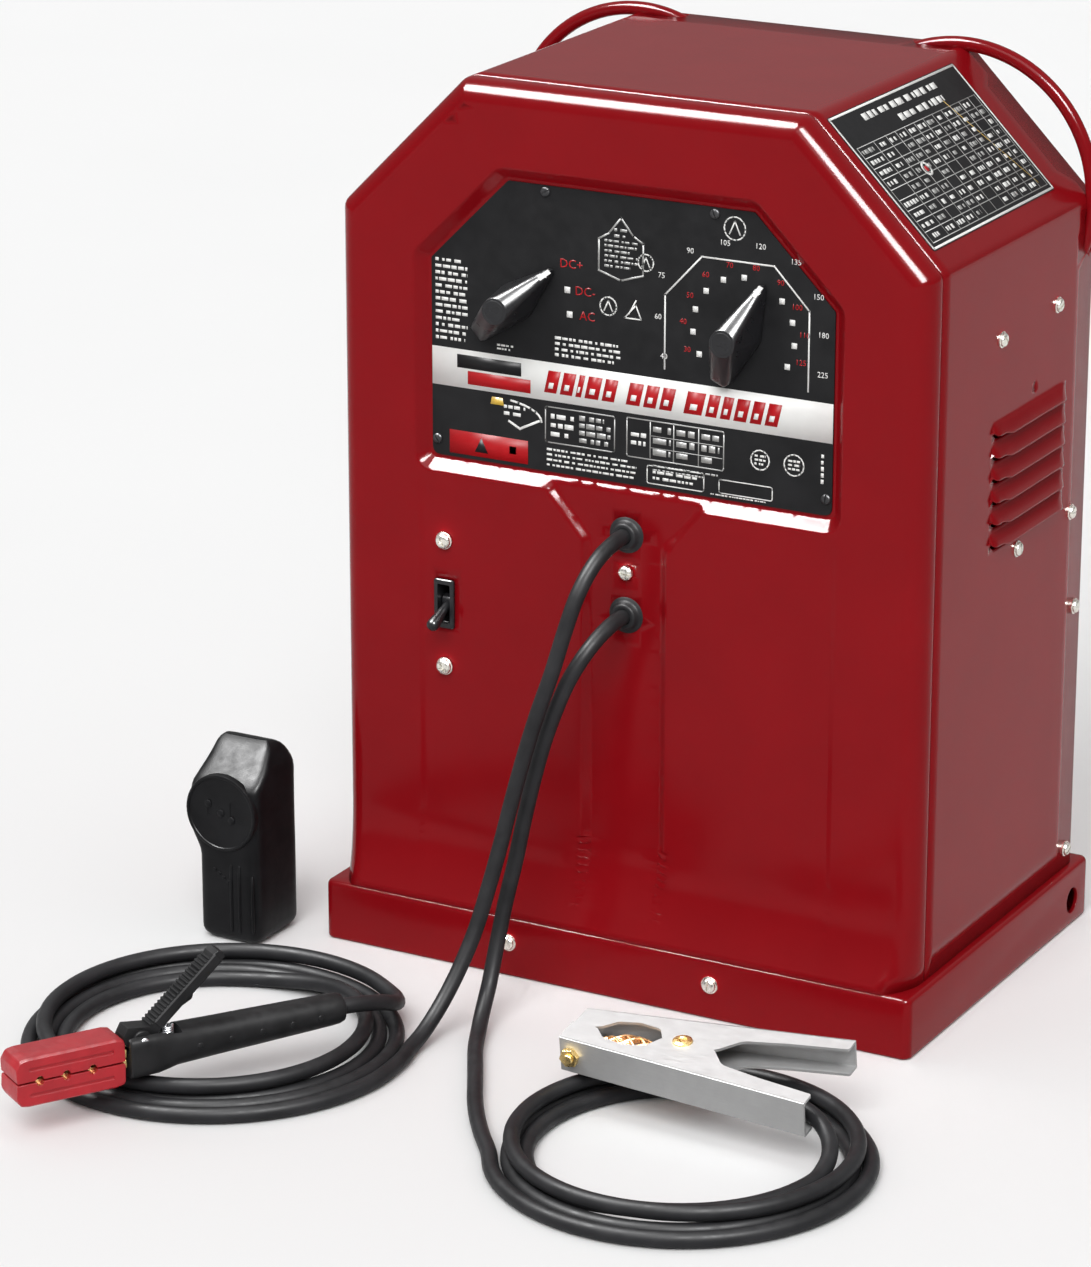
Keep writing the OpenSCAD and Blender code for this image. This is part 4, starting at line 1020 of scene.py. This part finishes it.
def add_knobs():
    base = PLATE_Y - PLATE_T - 1
    angles = [math.radians(a) for a in range(2, 362, 4)]
    for name, x, angle, body in (("polarity_knob", -DIAL_X, 48, "polarity_switch"),
                                 ("current_knob", DIAL_X, 24, "current_switch")):
        place = shift(x, base, DIAL_Z) @ about("Y", angle) @ about("X", 90)
        points = ring(13, 0, 72) + ring(13, 3, 72) + ring(8.8, 30, 72)
        points += [(a, 36.6, h) for a in (-1.8, 1.8) for h in (0, 5)]
        points += [(a, b, h) for a, b in ((-5, -36.6), (5, -36.6), (-7, -34), (7, -34)) for h in (0, 6)]
        heights = [0.05, 1, 2, 3, 4, 5, 6, 7.5] + list(range(9, 26, 2)) + [26.5, 28, 29, 29.6]
        rows = wrapped(points, heights, angles)
        last = [(p[0], p[1]) for p in rows[-1]]
        for shrink, h in ((0.97, 29.85), (0.93, 29.98), (0.86, 30.0)):
            rows.append([(px * shrink, py * shrink, h) for px, py in last])
        Shape().loft(rows, move=place).make(name + "_grip", "black_plastic", body=body, stands_for=[name],
                                            sharp=55)
        profile = [(0, 30.14), (5.6, 30.14), (6.2, 30.3), (6.9, 30.3), (7.3, 30.05), (7.3, 29.9), (0, 29.9)]
        Shape().lathe(profile, place, 40).make(name + "_cap", "black_plastic", body=body, sharp=40)
        mark = Shape()
        low, high = Vector((0, 36.3, 5.0)), Vector((0, 30.0, 10.7))
        rise = Vector((0, 0.67, 0.74)) * 0.4
        mark.add([end + Vector((half, 0, 0)) + lift for lift in (rise, Vector((0, 0, -0.8)))
                  for end, half in ((low, -1.6), (low, 1.6), (high, 1.7), (high, -1.7))],
                 [(0, 1, 2, 3), (4, 5, 6, 7), (0, 1, 5, 4), (1, 2, 6, 5), (2, 3, 7, 6), (3, 0, 4, 7)], place)
        mark.make(name + "_mark", "white_print", body=body, slot="black_plastic", bevel=0.15)


def add_toggle():
    place = shift(SWITCH_X, -122, SWITCH_Z) @ about("X", 90 + 24)
    bat = [(0, -1), (2.9, -1), (2.9, 10), (3.3, 15), (4.1, 21), (4.35, 24.6), (4.2, 26.6), (3.4, 28.2),
           (2, 29), (0, 29.2)]
    shape = Shape().lathe(bat, place, 24)
    shape.lathe([(0, -4.2), (4.2, -4.2), (4.6, -3.8), (4.6, 3.8), (4.2, 4.2), (0, 4.2)],
                shift(SWITCH_X, -122, SWITCH_Z) @ about("Y", 90), 28)
    shape.make("toggle_bat", "black_plastic", body="toggle", stands_for=["power_toggle"], sharp=40)
    bezel = Shape()
    outer = rounded(corners(-7.5, -17, 7.5, 17), 2, 4)
    inner = rounded(corners(-4.7, -13.6, 4.7, 13.6), 1, 4)
    rows = [[(SWITCH_X + a, y, SWITCH_Z + b) for a, b in loop] for loop, y in
            ((outer, -129.6), (outer, -130.9), ([(a * 0.93, b * 0.97) for a, b in outer], -131.4),
             (inner, -131.4), (inner, -124))]
    bezel.loft(rows, caps=False)
    bezel.make("toggle_bezel", "black_plastic", sharp=40)


def screw_set(name, finish, node, spots, radius, height, washer=0.0, cross=False):
    """Domed heads on a node's fixings, each with its cut slots, and a washer under it."""
    dome = [(radius * r, height * z) for r, z in
            ((1, 0), (1, 0.28), (0.96, 0.52), (0.84, 0.76), (0.62, 0.93), (0.3, 1))] + [(0.01, height)]
    shape = Shape()
    rng = random.Random(len(name))
    places = []
    for place in spots:
        lift = shift(0, 0, 1.0) if washer else Matrix.Identity(4)
        places.append(place @ lift @ about("Z", rng.uniform(0, 180)))
        shape.lathe(dome, places[-1], 36)
    made = shape.make(name, finish, stands_for=[node], sharp=40)
    reach = radius * (0.55 if cross else 1.3)
    for turn in ((0, 90) if cross else (0,)):
        cutter = Shape()
        for place in places:
            cutter.box((-reach, -radius * 0.13, height * 0.5), (reach, radius * 0.13, height + 2),
                       place @ about("Z", turn))
        cut(made, cutter)
    if washer:
        rings = Shape()
        for place in spots:
            rings.lathe([(0, -0.2), (washer, -0.2), (washer, 0.7), (washer - 0.4, 1.0), (0, 1.0)], place, 32)
        rings.make(name + "_washers", finish, slot=finish, sharp=40)
    return made


def add_screws():
    out = about("X", 90)
    screw_set("switch_screw_heads", "zinc_screw", "switch_screws",
              [shift(SWITCH_X, FRONT_Y, SWITCH_Z + s * 44) @ out for s in (-1, 1)], 5.4, 3.2, 6.0, True)
    screw_set("base_screw_heads", "zinc_screw", "base_screws",
              [shift(s * 76, -BASE_D / 2, 24.5) @ out for s in (-1, 1)], 5.0, 3.2, 6.0)
    screw_set("panel_bolt_head", "zinc_screw", "panel_bolt", [shift(0, PLATE_Y - 3, BOLT_Z) @ out], 5.0, 3.4)
    places = []
    for s in (-1, 1):
        for y, z in ((106, 302), (118, 232), (118, 56)):
            places.append(shift(s * CASE_W / 2, y, z) @ about("Y", 90 * s))
    for y, z in ((-18, 451), (72, 453), (17, 301)):
        places.append(shift(CASE_W / 2, y, z) @ about("Y", 90))
    screw_set("case_screw_heads", "zinc_screw", "case_screws", places, 4.6, 2.6, 5.5)
    plate = [shift(s * x, PLATE_Y - PLATE_T, z) @ out for s in (-1, 1) for x, z in ((61, 538), (142, 362))]
    screw_set("nameplate_screw_heads", "black_screw", "nameplate_screws", plate, 3.4, 1.8)


def add_glands():
    shape = Shape()
    profile = [(5.3, -2.8), (12, -2.8), (12, -1.5), (10, -1.4), (9.9, 0.1), (12.6, 0.2), (13, 0.7), (13, 2.0),
               (12.4, 2.7), (10.6, 3.2), (9.4, 4.2), (8.8, 6.8), (8.2, 7.8), (7, 8), (5.6, 7.8), (5.3, 7)]
    for z in (TOP_HOLE_Z, LOW_HOLE_Z):
        place = shift(0, PLATE_Y - 2.6, z) @ about("X", 90)
        shape.loft([ring(r, h - 2.6 if h > 0 else h, 40) for r, h in profile], caps=False, move=place)
    shape.make("cable_gland_rings", "black_rubber", stands_for=["cable_glands"], sharp=50)


# ---------------------------------------------------------------- electrode holder
def holder_place():
    return Matrix.Translation(HOLDER_AT) @ Matrix.Rotation(HOLDER_TURN, 4, "Z")


def section(t, w, h, power, n=28, lift=0.0):
    """Squared round section at t along a handle, half width w and half height h."""
    out = []
    for k in range(n):
        a = 2 * math.pi * k / n
        c, s = math.cos(a), math.sin(a)
        out.append((t, w * math.copysign(abs(c) ** (2 / power), c),
                    lift + h * math.copysign(abs(s) ** (2 / power), s)))
    return out


def helix(x, r, z, height, count):
    """Centre line of a spring."""
    n = 16 * count
    return [(x + r * math.cos(2 * math.pi * k / 16), r * math.sin(2 * math.pi * k / 16), z + height * k / n)
            for k in range(n + 1)]


def add_holder():
    place = holder_place()
    sizes = [(78, 12.6, 13.2, 5), (79, 13.4, 13.9, 5), (84, 13.6, 14, 5), (98, 13.6, 14, 4.5),
             (106, 13, 13.6, 3.2), (112, 12.6, 13.0, 2.6), (140, 12.0, 12.4, 2.3), (170, 11.5, 11.8, 2.2),
             (200, 11, 11.1, 2.1), (222, 10.6, 10.6, 2), (228, 10.2, 10.2, 2), (231, 9.2, 9.2, 2),
             (232, 7.4, 7.4, 2), (231.6, 5.5, 5.5, 2)]
    handle = Shape().loft([section(t, w, h, e, 36) for t, w, h, e in sizes], move=place)
    made = handle.make("holder_grip", "black_phenolic", stands_for=["holder_handle"], sharp=40)
    cut(made, Shape().box((70, -9, 3), (115, 9, 40), place))
    trim = Shape()
    for s in (-1, 1):
        trim.box((108, s * 12.0 - 0.8, -0.9), (218, s * 12.0 + 0.8, 0.9), place @ about("Z", -s * 0.75))
        for t in (126, 148, 170, 192, 212):
            r = 12.3 - (t - 120) * 0.017
            trim.lathe([(0, r - 1), (2.2, r - 1), (2.2, r + 0.3), (1.8, r + 0.5), (0, r + 0.5)],
                       place @ shift(t, 0, 0) @ about("X", 90 * s), 16)
    trim.make("holder_seam", "black_phenolic", bevel=0.2)
    for name, side, node, body in (("holder_jaw_lower", -1, "holder_jaw_lower", HOUSING),
                                   ("holder_jaw_upper", 1, "holder_jaw_upper", "holder_lever")):
        flip = Matrix.Diagonal((1, 1, side, 1))
        shape = Shape()
        outline = rounded([(0.4, 0.7), (0, 10.5), (3, 15.5), (8, 16.4), (68, 16.4), (73.6, 15.2), (74, 0.7)],
                          [1, 3, 3, 4, 3, 2, 1], 3)
        rows = [[(x, y, z if z < 2 else z - (1.3 if edge else 0)) for x, z in outline]
                for y, edge in ((-12.6, 1), (-11.2, 0), (11.2, 0), (12.6, 1))]
        shape.loft(rows, move=place @ flip)
        made = shape.make(name + "_block", "red_insulator", body=body, stands_for=[node], bevel=0.7, sharp=30)
        grooves = Shape()
        for y in (-13.2, 13.2):
            grooves.box((9, y - 1.6, 7.4), (66, y + 1.6, 9.8), place @ flip)
        for x in (16, 34, 52):
            grooves.lathe([(0, -20), (2.6, -20), (2.6, 20), (0, 20)],
                          place @ flip @ shift(x, 0, 0.7) @ about("X", 90), 20)
        cut(made, grooves)
        inner = Shape().box((2, -8, 0.62), (77, 8, 6), place @ flip)
        inner.make(name + "_tongue", "brass", body=body, bevel=0.4)
    lever = Shape()
    c, s = math.cos(math.radians(41)), math.sin(math.radians(41))
    length, half = 66, 6.2

    def along(t, up):
        return (96 + t * c - up * s, 12.5 + t * s + up * c)

    upper = []
    teeth = 20
    step = (length - 8) / teeth
    for k in range(teeth):
        t = 2 + (length - 8) * k / teeth
        upper += [along(t + step * a, up) for a, up in ((0, 5.0), (0.3, 6.3), (0.62, 6.3), (0.85, 5.0))]
    end = [along(length + a, up) for a, up in ((-4, 5.6), (0, 4.6), (1.5, 1), (0, -2))]
    outline = [(76, 14), (79, 19.6)] + upper + end + [along(8, -2.4), (92, 6), (80, 5.2), (76, 9)]
    lever.loft([[(x, y, z) for x, z in outline] for y in (-half, half)], move=place)
    for way in (-1, 1):
        rail = [(way * (half - 0.8), -1.6), (way * half, -2.6), (way * (half + 0.9), -1.2),
                (way * (half + 0.9), 4.4), (way * half, 5.4), (way * (half - 0.8), 4.6)]
        lever.loft([[(along(t, up)[0], y, along(t, up)[1]) for y, up in rail] for t in (6, 30, length - 3)],
                   move=place)
    lever.lathe([(0, -8.6), (6.1, -8.6), (6.5, -8.2), (6.5, 8.2), (6.1, 8.6), (0, 8.6)],
                place @ shift(88, 0, 10) @ about("X", 90), 32)
    web = rounded([(95, 15), (117, 24.5), (126, 29), (126.5, 36), (120, 38)], [0, 3, 3, 2, 0], 3)
    lever.loft([[(x, y, z) for x, z in web] for y in (-2.2, 2.2)], move=place)
    lever.make("holder_lever_arm", "black_phenolic", body="holder_lever", stands_for=["holder_lever"],
               bevel=0.35, sharp=25)
    pin = Shape()
    pin.lathe([(0, -12.4), (2.5, -12.4), (3, -11.9), (3, 11.9), (2.5, 12.4), (0, 12.4)],
              place @ shift(88, 0, 10) @ about("X", 90), 28)
    pin.make("holder_pin_rod", "steel", stands_for=["holder_pin"], sharp=40)
    spring = Shape().tube(helix(108, 4.2, 4.1, 9.4, 6), 0.75, 8, place)
    made = spring.make("holder_spring_coil", "steel", stands_for=["holder_spring"], sharp=60)
    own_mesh(made)


# ---------------------------------------------------------------- work clamp
def clamp_place():
    return Matrix.Translation(CLAMP_AT) @ Matrix.Rotation(math.radians(3), 4, "Z") \
        @ Matrix.Rotation(math.radians(8), 4, "X")


def arm_y(x):
    return 21 + 0.12 * (x + 76)


def clamp_arm(name, side, half, body, node, place):
    flip = Matrix.Diagonal((1, side, 1, 1))
    shape = Shape()
    web = [(-76, arm_y(-76)), (100, arm_y(100)), (100, arm_y(100) - 1.8), (-76, arm_y(-76) - 1.8)]
    shape.prism(web, -half, half, place @ flip)
    made = shape.make(name + "_web", "zinc_sheet", body=body, stands_for=[node], bevel=0.5, segments=3)
    cut(made, Shape().lathe([(0, 0), (3.6, 0), (3.6, 60), (0, 60)],
                            place @ flip @ shift(-68, 0, 0) @ about("X", -90), 24))
    flange = [(-76, arm_y(-76) - 0.4), (100, arm_y(100) - 0.4), (100, arm_y(100) - 12), (62, arm_y(62) - 14),
              (34, 17), (24, 4), (12, -8), (-8, -10), (-15, 2), (-21, 13), (-36, 15.5), (-50, 12),
              (-57, 3.5), (-62, 0.9), (-76, 0.9)]
    outline = rounded(flange, [1, 1, 2, 5, 12, 6, 9, 9, 4, 6, 8, 6, 4, 2, 1], 4)
    verts, faces = fill(outline, [circle(0, 0, 4.1, 24)])
    for z in (-half, half - 1.8):
        plate = Shape().add([(x, y, z) for x, y in verts], faces, place @ flip)
        made = plate.make(f"{name}_flange_{'top' if z > 0 else 'low'}", "zinc_sheet", body=body)
        thickened(made, 1.8, 1)
        bevelled(made, 0.4, 50)


def add_clamp():
    place = clamp_place()
    clamp_arm("clamp_front", -1, 12, HOUSING, "clamp_arm_front", place)
    clamp_arm("clamp_back", 1, 9.8, "clamp_arm", "clamp_arm_back", place)
    rivet = Shape()
    rivet.lathe([(0, -14), (5, -14), (6.2, -13.4), (6.5, -12), (4, -12), (4, 12), (6.5, 12), (6.3, 13.2),
                 (5, 13.9), (3.2, 14), (2.6, 13.2), (0, 13.1)], place, 32)
    rivet.make("clamp_rivet_head", "brass", stands_for=["clamp_rivet"], sharp=40)
    bolt = Shape()
    turn = place @ shift(-68, -1, 0) @ about("X", 90)
    bolt.lathe([(0, 0), (6.6, 0), (7, 0.6), (7, 4.4), (6.4, 5), (3.5, 5.2), (3.5, 22), (0, 22)], turn, 32)
    hexagon = [(6.6 * math.cos(math.radians(a)), 6.6 * math.sin(math.radians(a))) for a in range(10, 370, 60)]
    bolt.prism(hexagon, 21.0, 25, turn)
    bolt.lathe([(0, 24), (3.4, 24), (3.4, 26.2), (2.8, 26.8), (0, 26.8)], turn, 24)
    bolt.make("clamp_contact_bolt", "brass", stands_for=["clamp_contacts"], bevel=0.3, sharp=30)
    strands = Shape()
    for layer in range(3):
        for k in range(11):
            phase = 2 * math.pi * k / 11
            path = []
            for i in range(25):
                t = i / 24
                x = -57 + 47 * t
                swell = math.sin(math.pi * min(1, 0.12 + t * 0.88))
                y = (9.5 * swell + 1) * math.sin(phase + 5.2 * t * (1 if k % 2 else -1))
                z = -1 + 7.5 * swell * math.cos(phase + 5.2 * t * (1 if k % 2 else -1)) * (0.55 + 0.2 * layer)
                path.append((x, y, min(z, 8.6)))
            strands.tube(path, 0.95, 6, place)
    strands.make("clamp_braid", "braid", slot="copper", sharp=60)
    coil = Shape().tube(helix(0, 7.8, -5, 10, 4), 1.1, 8, place)
    coil.make("clamp_spring_coil", "steel", stands_for=["clamp_spring"], sharp=60)
    lug = Shape()
    barrel = place @ shift(14, -22, 0) @ about("Y", 90)
    lug.lathe([(0, 0), (6.2, 0), (6.9, 0.7), (7, 2), (7, 14), (6.3, 16), (6.3, 20), (7, 22), (7, 36),
               (6.6, 37), (5.4, 37), (5.4, 30), (0, 30)], barrel, 32)
    lug.box((-3.5, -7.4, 0.5), (3.5, -1, 13), barrel)
    lug.make("clamp_lug_barrel", "braid", slot="copper", stands_for=["clamp_lug"], bevel=0.3)


# ---------------------------------------------------------------- loose receptacle
def add_receptacle():
    """Moulded body with a straight right side, a round head on the left and a sloped top."""
    rows = []
    heights = [0, 0.5, 1.4, 2.8, 4.6, 7, 10, 20, 34, 46, 54, 60, 64, 67, 70, 73, 77, 82, 88, 94, 100, 106,
               110, 113, 117, 121, 125, 129, 132.5, 135.5, 137.6, 139, 139.7, 140]
    centre = 94
    for z in heights:
        foot = 9 - math.sqrt(max(0.0, 81 - max(0.0, 9 - z) ** 2))
        ball = math.sqrt(max(0.0, 28.5 ** 2 - (z - centre) ** 2)) if abs(z - centre) < 28.5 else 0.0
        left = max(20.5, ball) if z < centre else 28.5 - 9 * smooth_step((z - 100) / 40)
        if 60 < z < centre:
            left = max(left, 20.5 + 8 * smooth_step((z - 60) / 22))
        right = 28.5 - 7 * smooth_step((z - 118) / 26)
        front = 0.0 if z < 112 else (z - 112) * 1.05
        back = 55.0 - (0 if z < 112 else 24 * (1 - math.sqrt(max(0.0, 1 - ((z - 112) / 28.5) ** 2))))
        top = 6 * (1 - math.sqrt(max(0.0, 1 - (max(0.0, z - 134) / 6.05) ** 2)))
        left, right = left - foot - top, right - foot - top
        front, back = front + foot * 0.8 + top * 0.5, back - foot - top * 0.5
        mid, wide = (right - left) / 2, (right + left) / 2
        centre_y, deep = (front + back) / 2, max((back - front) / 2, 2.0)
        row = []
        for k in range(72):
            turn = 2 * math.pi * (k + 0.5) / 72
            c, sn = math.cos(turn), math.sin(turn)
            x = mid + wide * math.copysign(abs(c) ** (2 / 7), c)
            y = centre_y + deep * math.copysign(abs(sn) ** (2 / 7), sn)
            row.append(RECEPTACLE_AT + Vector((x, y, z)))
        rows.append(row)
    Shape().loft(rows).make("receptacle_shell", "bakelite", stands_for=["receptacle_body"], sharp=60)
    turn = Matrix.Translation(RECEPTACLE_AT + Vector((0, 0, centre))) @ about("X", 90)
    face = Shape()
    face.lathe([(0, -4), (27.4, -4), (27.6, 0.2), (27.2, 1.1), (26.2, 1.45), (25.2, 1.1), (24.8, 0.5),
                (24.4, 0.35), (0, 0.35)], turn, 64)
    made = face.make("receptacle_face_plate", "bakelite", stands_for=["receptacle_face"], sharp=35)
    slots = Shape()
    for x in (-9, 9):
        slots.box((x - 1.6, -2.5, -3), (x + 1.6, 8.5, 3), turn)
    slots.lathe([(0, -3), (3.6, -3), (3.6, 3), (0, 3)], turn @ shift(0, -12, 0), 24)
    slots.box((-3.6, -12, -3), (3.6, -7.5, 3), turn)
    cut(made, slots)
    trim = Shape()
    for x, z0, z1 in ((7, 8, 58), (13.5, 8, 58), (24, 10, 52)):
        heights = (z0, z0 + 1.5, z0 + 16, z1 - 16, z1 - 1.5, z1)
        trim.tube([RECEPTACLE_AT + Vector((x, 0.1, z)) for z in heights], [0.3, 1.1, 1.2, 1.2, 1.1, 0.3], 10)
    for x, z in ((-10, 99.5), (8.5, 90), (0, 94)):
        trim.lathe([(0, 0.2), (2.6, 0.2), (2.7, 0.9), (2.2, 1.3), (0, 1.4)],
                   Matrix.Translation(RECEPTACLE_AT + Vector((x, 0, z))) @ about("X", 90), 20)
    for i in range(4):
        x = -6 + 3.6 * i
        trim.lathe([(0, -0.3), (1.5, -0.3), (1.3, 0.5), (0.8, 0.7), (0, 0.7)],
                   Matrix.Translation(RECEPTACLE_AT + Vector((x, 0, 52 - 2.4 * i))) @ about("X", 90), 14)
    trim.make("receptacle_trim", "bakelite", sharp=40)


# ---------------------------------------------------------------- carried-over nodes
def dress_cad_nodes():
    """Own finish and broken edges on each node that stays in view."""
    for name, node in frame["nodes"].items():
        slot = node.data.materials[0].name.split(".")[0] if node.data.materials else "steel"
        finish = FINISH.get(SLOT_OF.get(name, slot), FINISH["steel"])
        if node.data.materials:
            for i in range(len(node.data.materials)):
                node.data.materials[i] = finish
        else:
            node.data.materials.append(finish)
        if node.hide_render:
            continue
        weld = node.modifiers.new("weld", "WELD")
        weld.merge_threshold = 1e-5
        bevelled(node, 0.4, 40)


def add_floor():
    n, size = 24, 30000
    verts = [(-size + 2 * size * i / n, -size + 2 * size * k / n, 0)
             for i in range(n + 1) for k in range(n + 1)]
    faces = [(i * (n + 1) + k, (i + 1) * (n + 1) + k, (i + 1) * (n + 1) + k + 1, i * (n + 1) + k + 1)
             for i in range(n) for k in range(n)]
    mesh = to_mesh("floor", verts, faces)
    mesh.materials.append(FINISH["floor"])
    made = placed("floor", mesh)
    made.location.z = -0.0002


SLOT_OF = {}
for entry in frame["record"].get("materials", []):
    for node_name in entry.get("nodes", []):
        SLOT_OF[node_name] = entry.get("slot")

FINISH = make_finishes()
add_camera()
add_world()
cables = add_cables()
add_floor()
add_front_panel()
add_wrapper()
add_base_pan()
add_handles()
add_nameplate()
add_chamfer_label()
add_knobs()
add_toggle()
add_screws()
add_glands()
add_holder()
add_clamp()
add_receptacle()
dress_cad_nodes()
